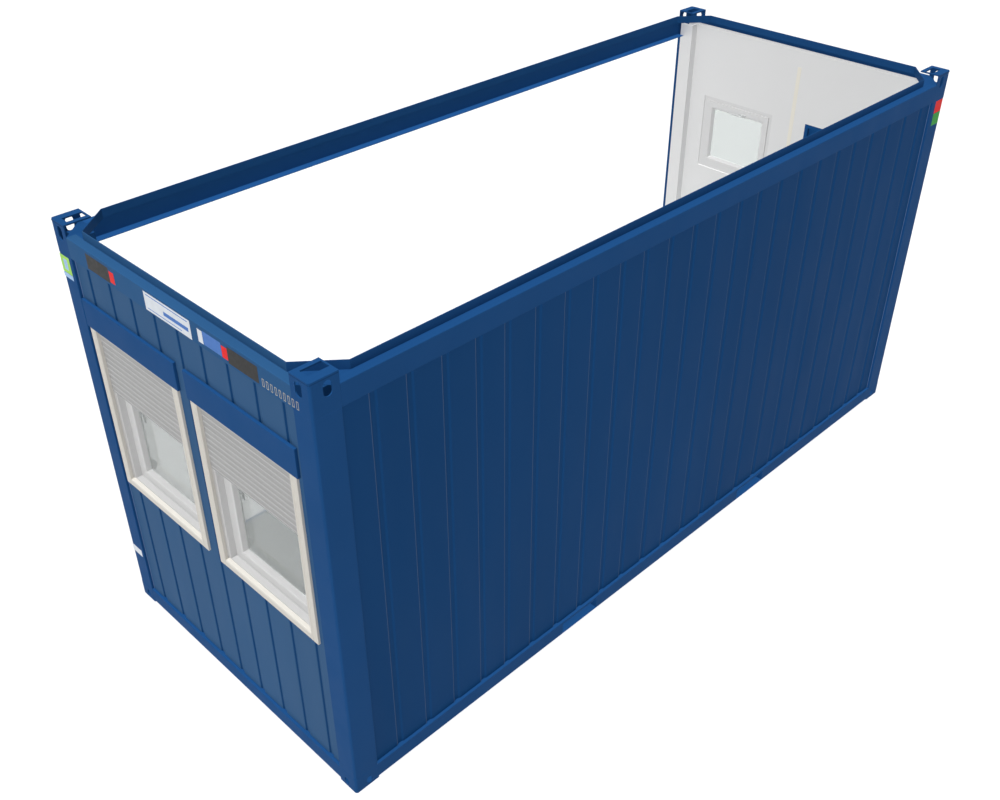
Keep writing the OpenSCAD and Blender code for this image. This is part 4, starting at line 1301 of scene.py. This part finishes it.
def lamp(name, energy, direction, degrees, shadows=True):
    """A sun lamp as wide as an angle in degrees, that shines along a direction."""
    data = bpy.data.lights.new(name, "SUN")
    data.energy = energy
    data.angle = math.radians(degrees)
    data.use_shadow = shadows
    obj = bpy.data.objects.new(name, data)
    obj.rotation_euler = Vector(direction).to_track_quat("-Z", "Y").to_euler()
    bpy.context.scene.collection.objects.link(obj)


class CABIN_OT_stage(bpy.types.Operator):
    """Sets the pale floor, the soft studio light and the camera"""
    bl_idname = "cabin.stage"
    bl_label = "Stage"

    def execute(self, context):
        stage = context.scene.cabin_stage
        reach = 150.0
        floor = bpy.data.meshes.new("studio_floor")
        floor.from_pydata([(-reach, -reach, -0.002), (reach, -reach, -0.002), (reach, reach, -0.002),
                           (-reach, reach, -0.002)], [], [(0, 1, 2, 3)])
        finish = Finish("studio_floor", Specular_IOR_Level=0.0, Roughness=0.9)
        finish.set(Base_Color=(0.70, 0.70, 0.70, 1.0))
        floor.materials.append(finish.material)
        plane = bpy.data.objects.new("studio_floor", floor)
        context.scene.collection.objects.link(plane)
        lamp("overhead", stage.overhead, (-0.10, 0.16, -1.0), 50)
        lamp("overhead_fill", stage.overhead_fill, (-0.04, 0.04, -1.0), 20, False)
        lamp("front_fill", stage.front_fill, (-0.05, 1.0, -0.30), 20, False)
        lamp("side_fill", stage.side_fill, (-1.0, 0.0, -0.05), 20, False)
        world = bpy.data.worlds.new("studio")
        world.use_nodes = True
        world.node_tree.nodes["Background"].inputs["Color"].default_value = (1.0, 1.0, 1.0, 1.0)
        world.node_tree.nodes["Background"].inputs["Strength"].default_value = stage.sky
        context.scene.world = world
        context.scene.view_settings.view_transform = "Standard"
        self.camera(context, stage)
        return {"FINISHED"}

    def camera(self, context, stage):
        data = bpy.data.cameras.new("camera")
        data.lens = stage.lens
        data.sensor_width = 36.0
        data.shift_x, data.shift_y = stage.shift
        data.clip_end = 500.0
        level = math.cos(stage.dip)
        forward = Vector((math.sin(stage.heading) * level, math.cos(stage.heading) * level,
                          -math.sin(stage.dip)))
        turn = forward.to_track_quat("-Z", "Y") @ Quaternion((0, 0, 1), stage.roll)
        obj = bpy.data.objects.new("camera", data)
        obj.location = stage.eye
        obj.rotation_euler = turn.to_euler()
        context.scene.collection.objects.link(obj)
        context.scene.camera = obj


# ---- Add-on ------------------------------------------------------------------------

OPERATORS = (CABIN_OT_rails, CABIN_OT_posts, CABIN_OT_fittings, CABIN_OT_wall_sheets, CABIN_OT_beads,
             CABIN_OT_linings, CABIN_OT_floor, CABIN_OT_shutters, CABIN_OT_windows, CABIN_OT_door,
             CABIN_OT_signs, CABIN_OT_stage)


class CABIN_PT_pieces(bpy.types.Panel):
    """Lists the cabin's pieces and its settings"""
    bl_idname = "CABIN_PT_pieces"
    bl_label = "Site cabin"
    bl_space_type = "VIEW_3D"
    bl_region_type = "UI"
    bl_category = "Cabin"

    def draw(self, context):
        for operator in OPERATORS:
            self.layout.operator(operator.bl_idname)
        for group in (context.scene.cabin_sizes, context.scene.cabin_colours, context.scene.cabin_stage):
            box = self.layout.box()
            for name in group.__annotations__:
                box.prop(group, name)


SETTINGS = {"cabin_sizes": CabinSizes, "cabin_colours": CabinColours, "cabin_stage": CabinStage}


def register():
    for cls in (*SETTINGS.values(), *OPERATORS, CABIN_PT_pieces):
        bpy.utils.register_class(cls)
    for name, group in SETTINGS.items():
        setattr(bpy.types.Scene, name, PointerProperty(type=group))


def unregister():
    for name in SETTINGS:
        delattr(bpy.types.Scene, name)
    for cls in (CABIN_PT_pieces, *reversed(OPERATORS), *SETTINGS.values()):
        bpy.utils.unregister_class(cls)


def main():
    """Builds everything in order."""
    register()
    for operator in OPERATORS:
        group, action = operator.bl_idname.split(".")
        if getattr(getattr(bpy.ops, group), action)() != {"FINISHED"}:
            raise RuntimeError(f"{operator.bl_label} wasn't finished")
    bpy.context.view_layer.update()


if __name__ == "__main__":
    main()
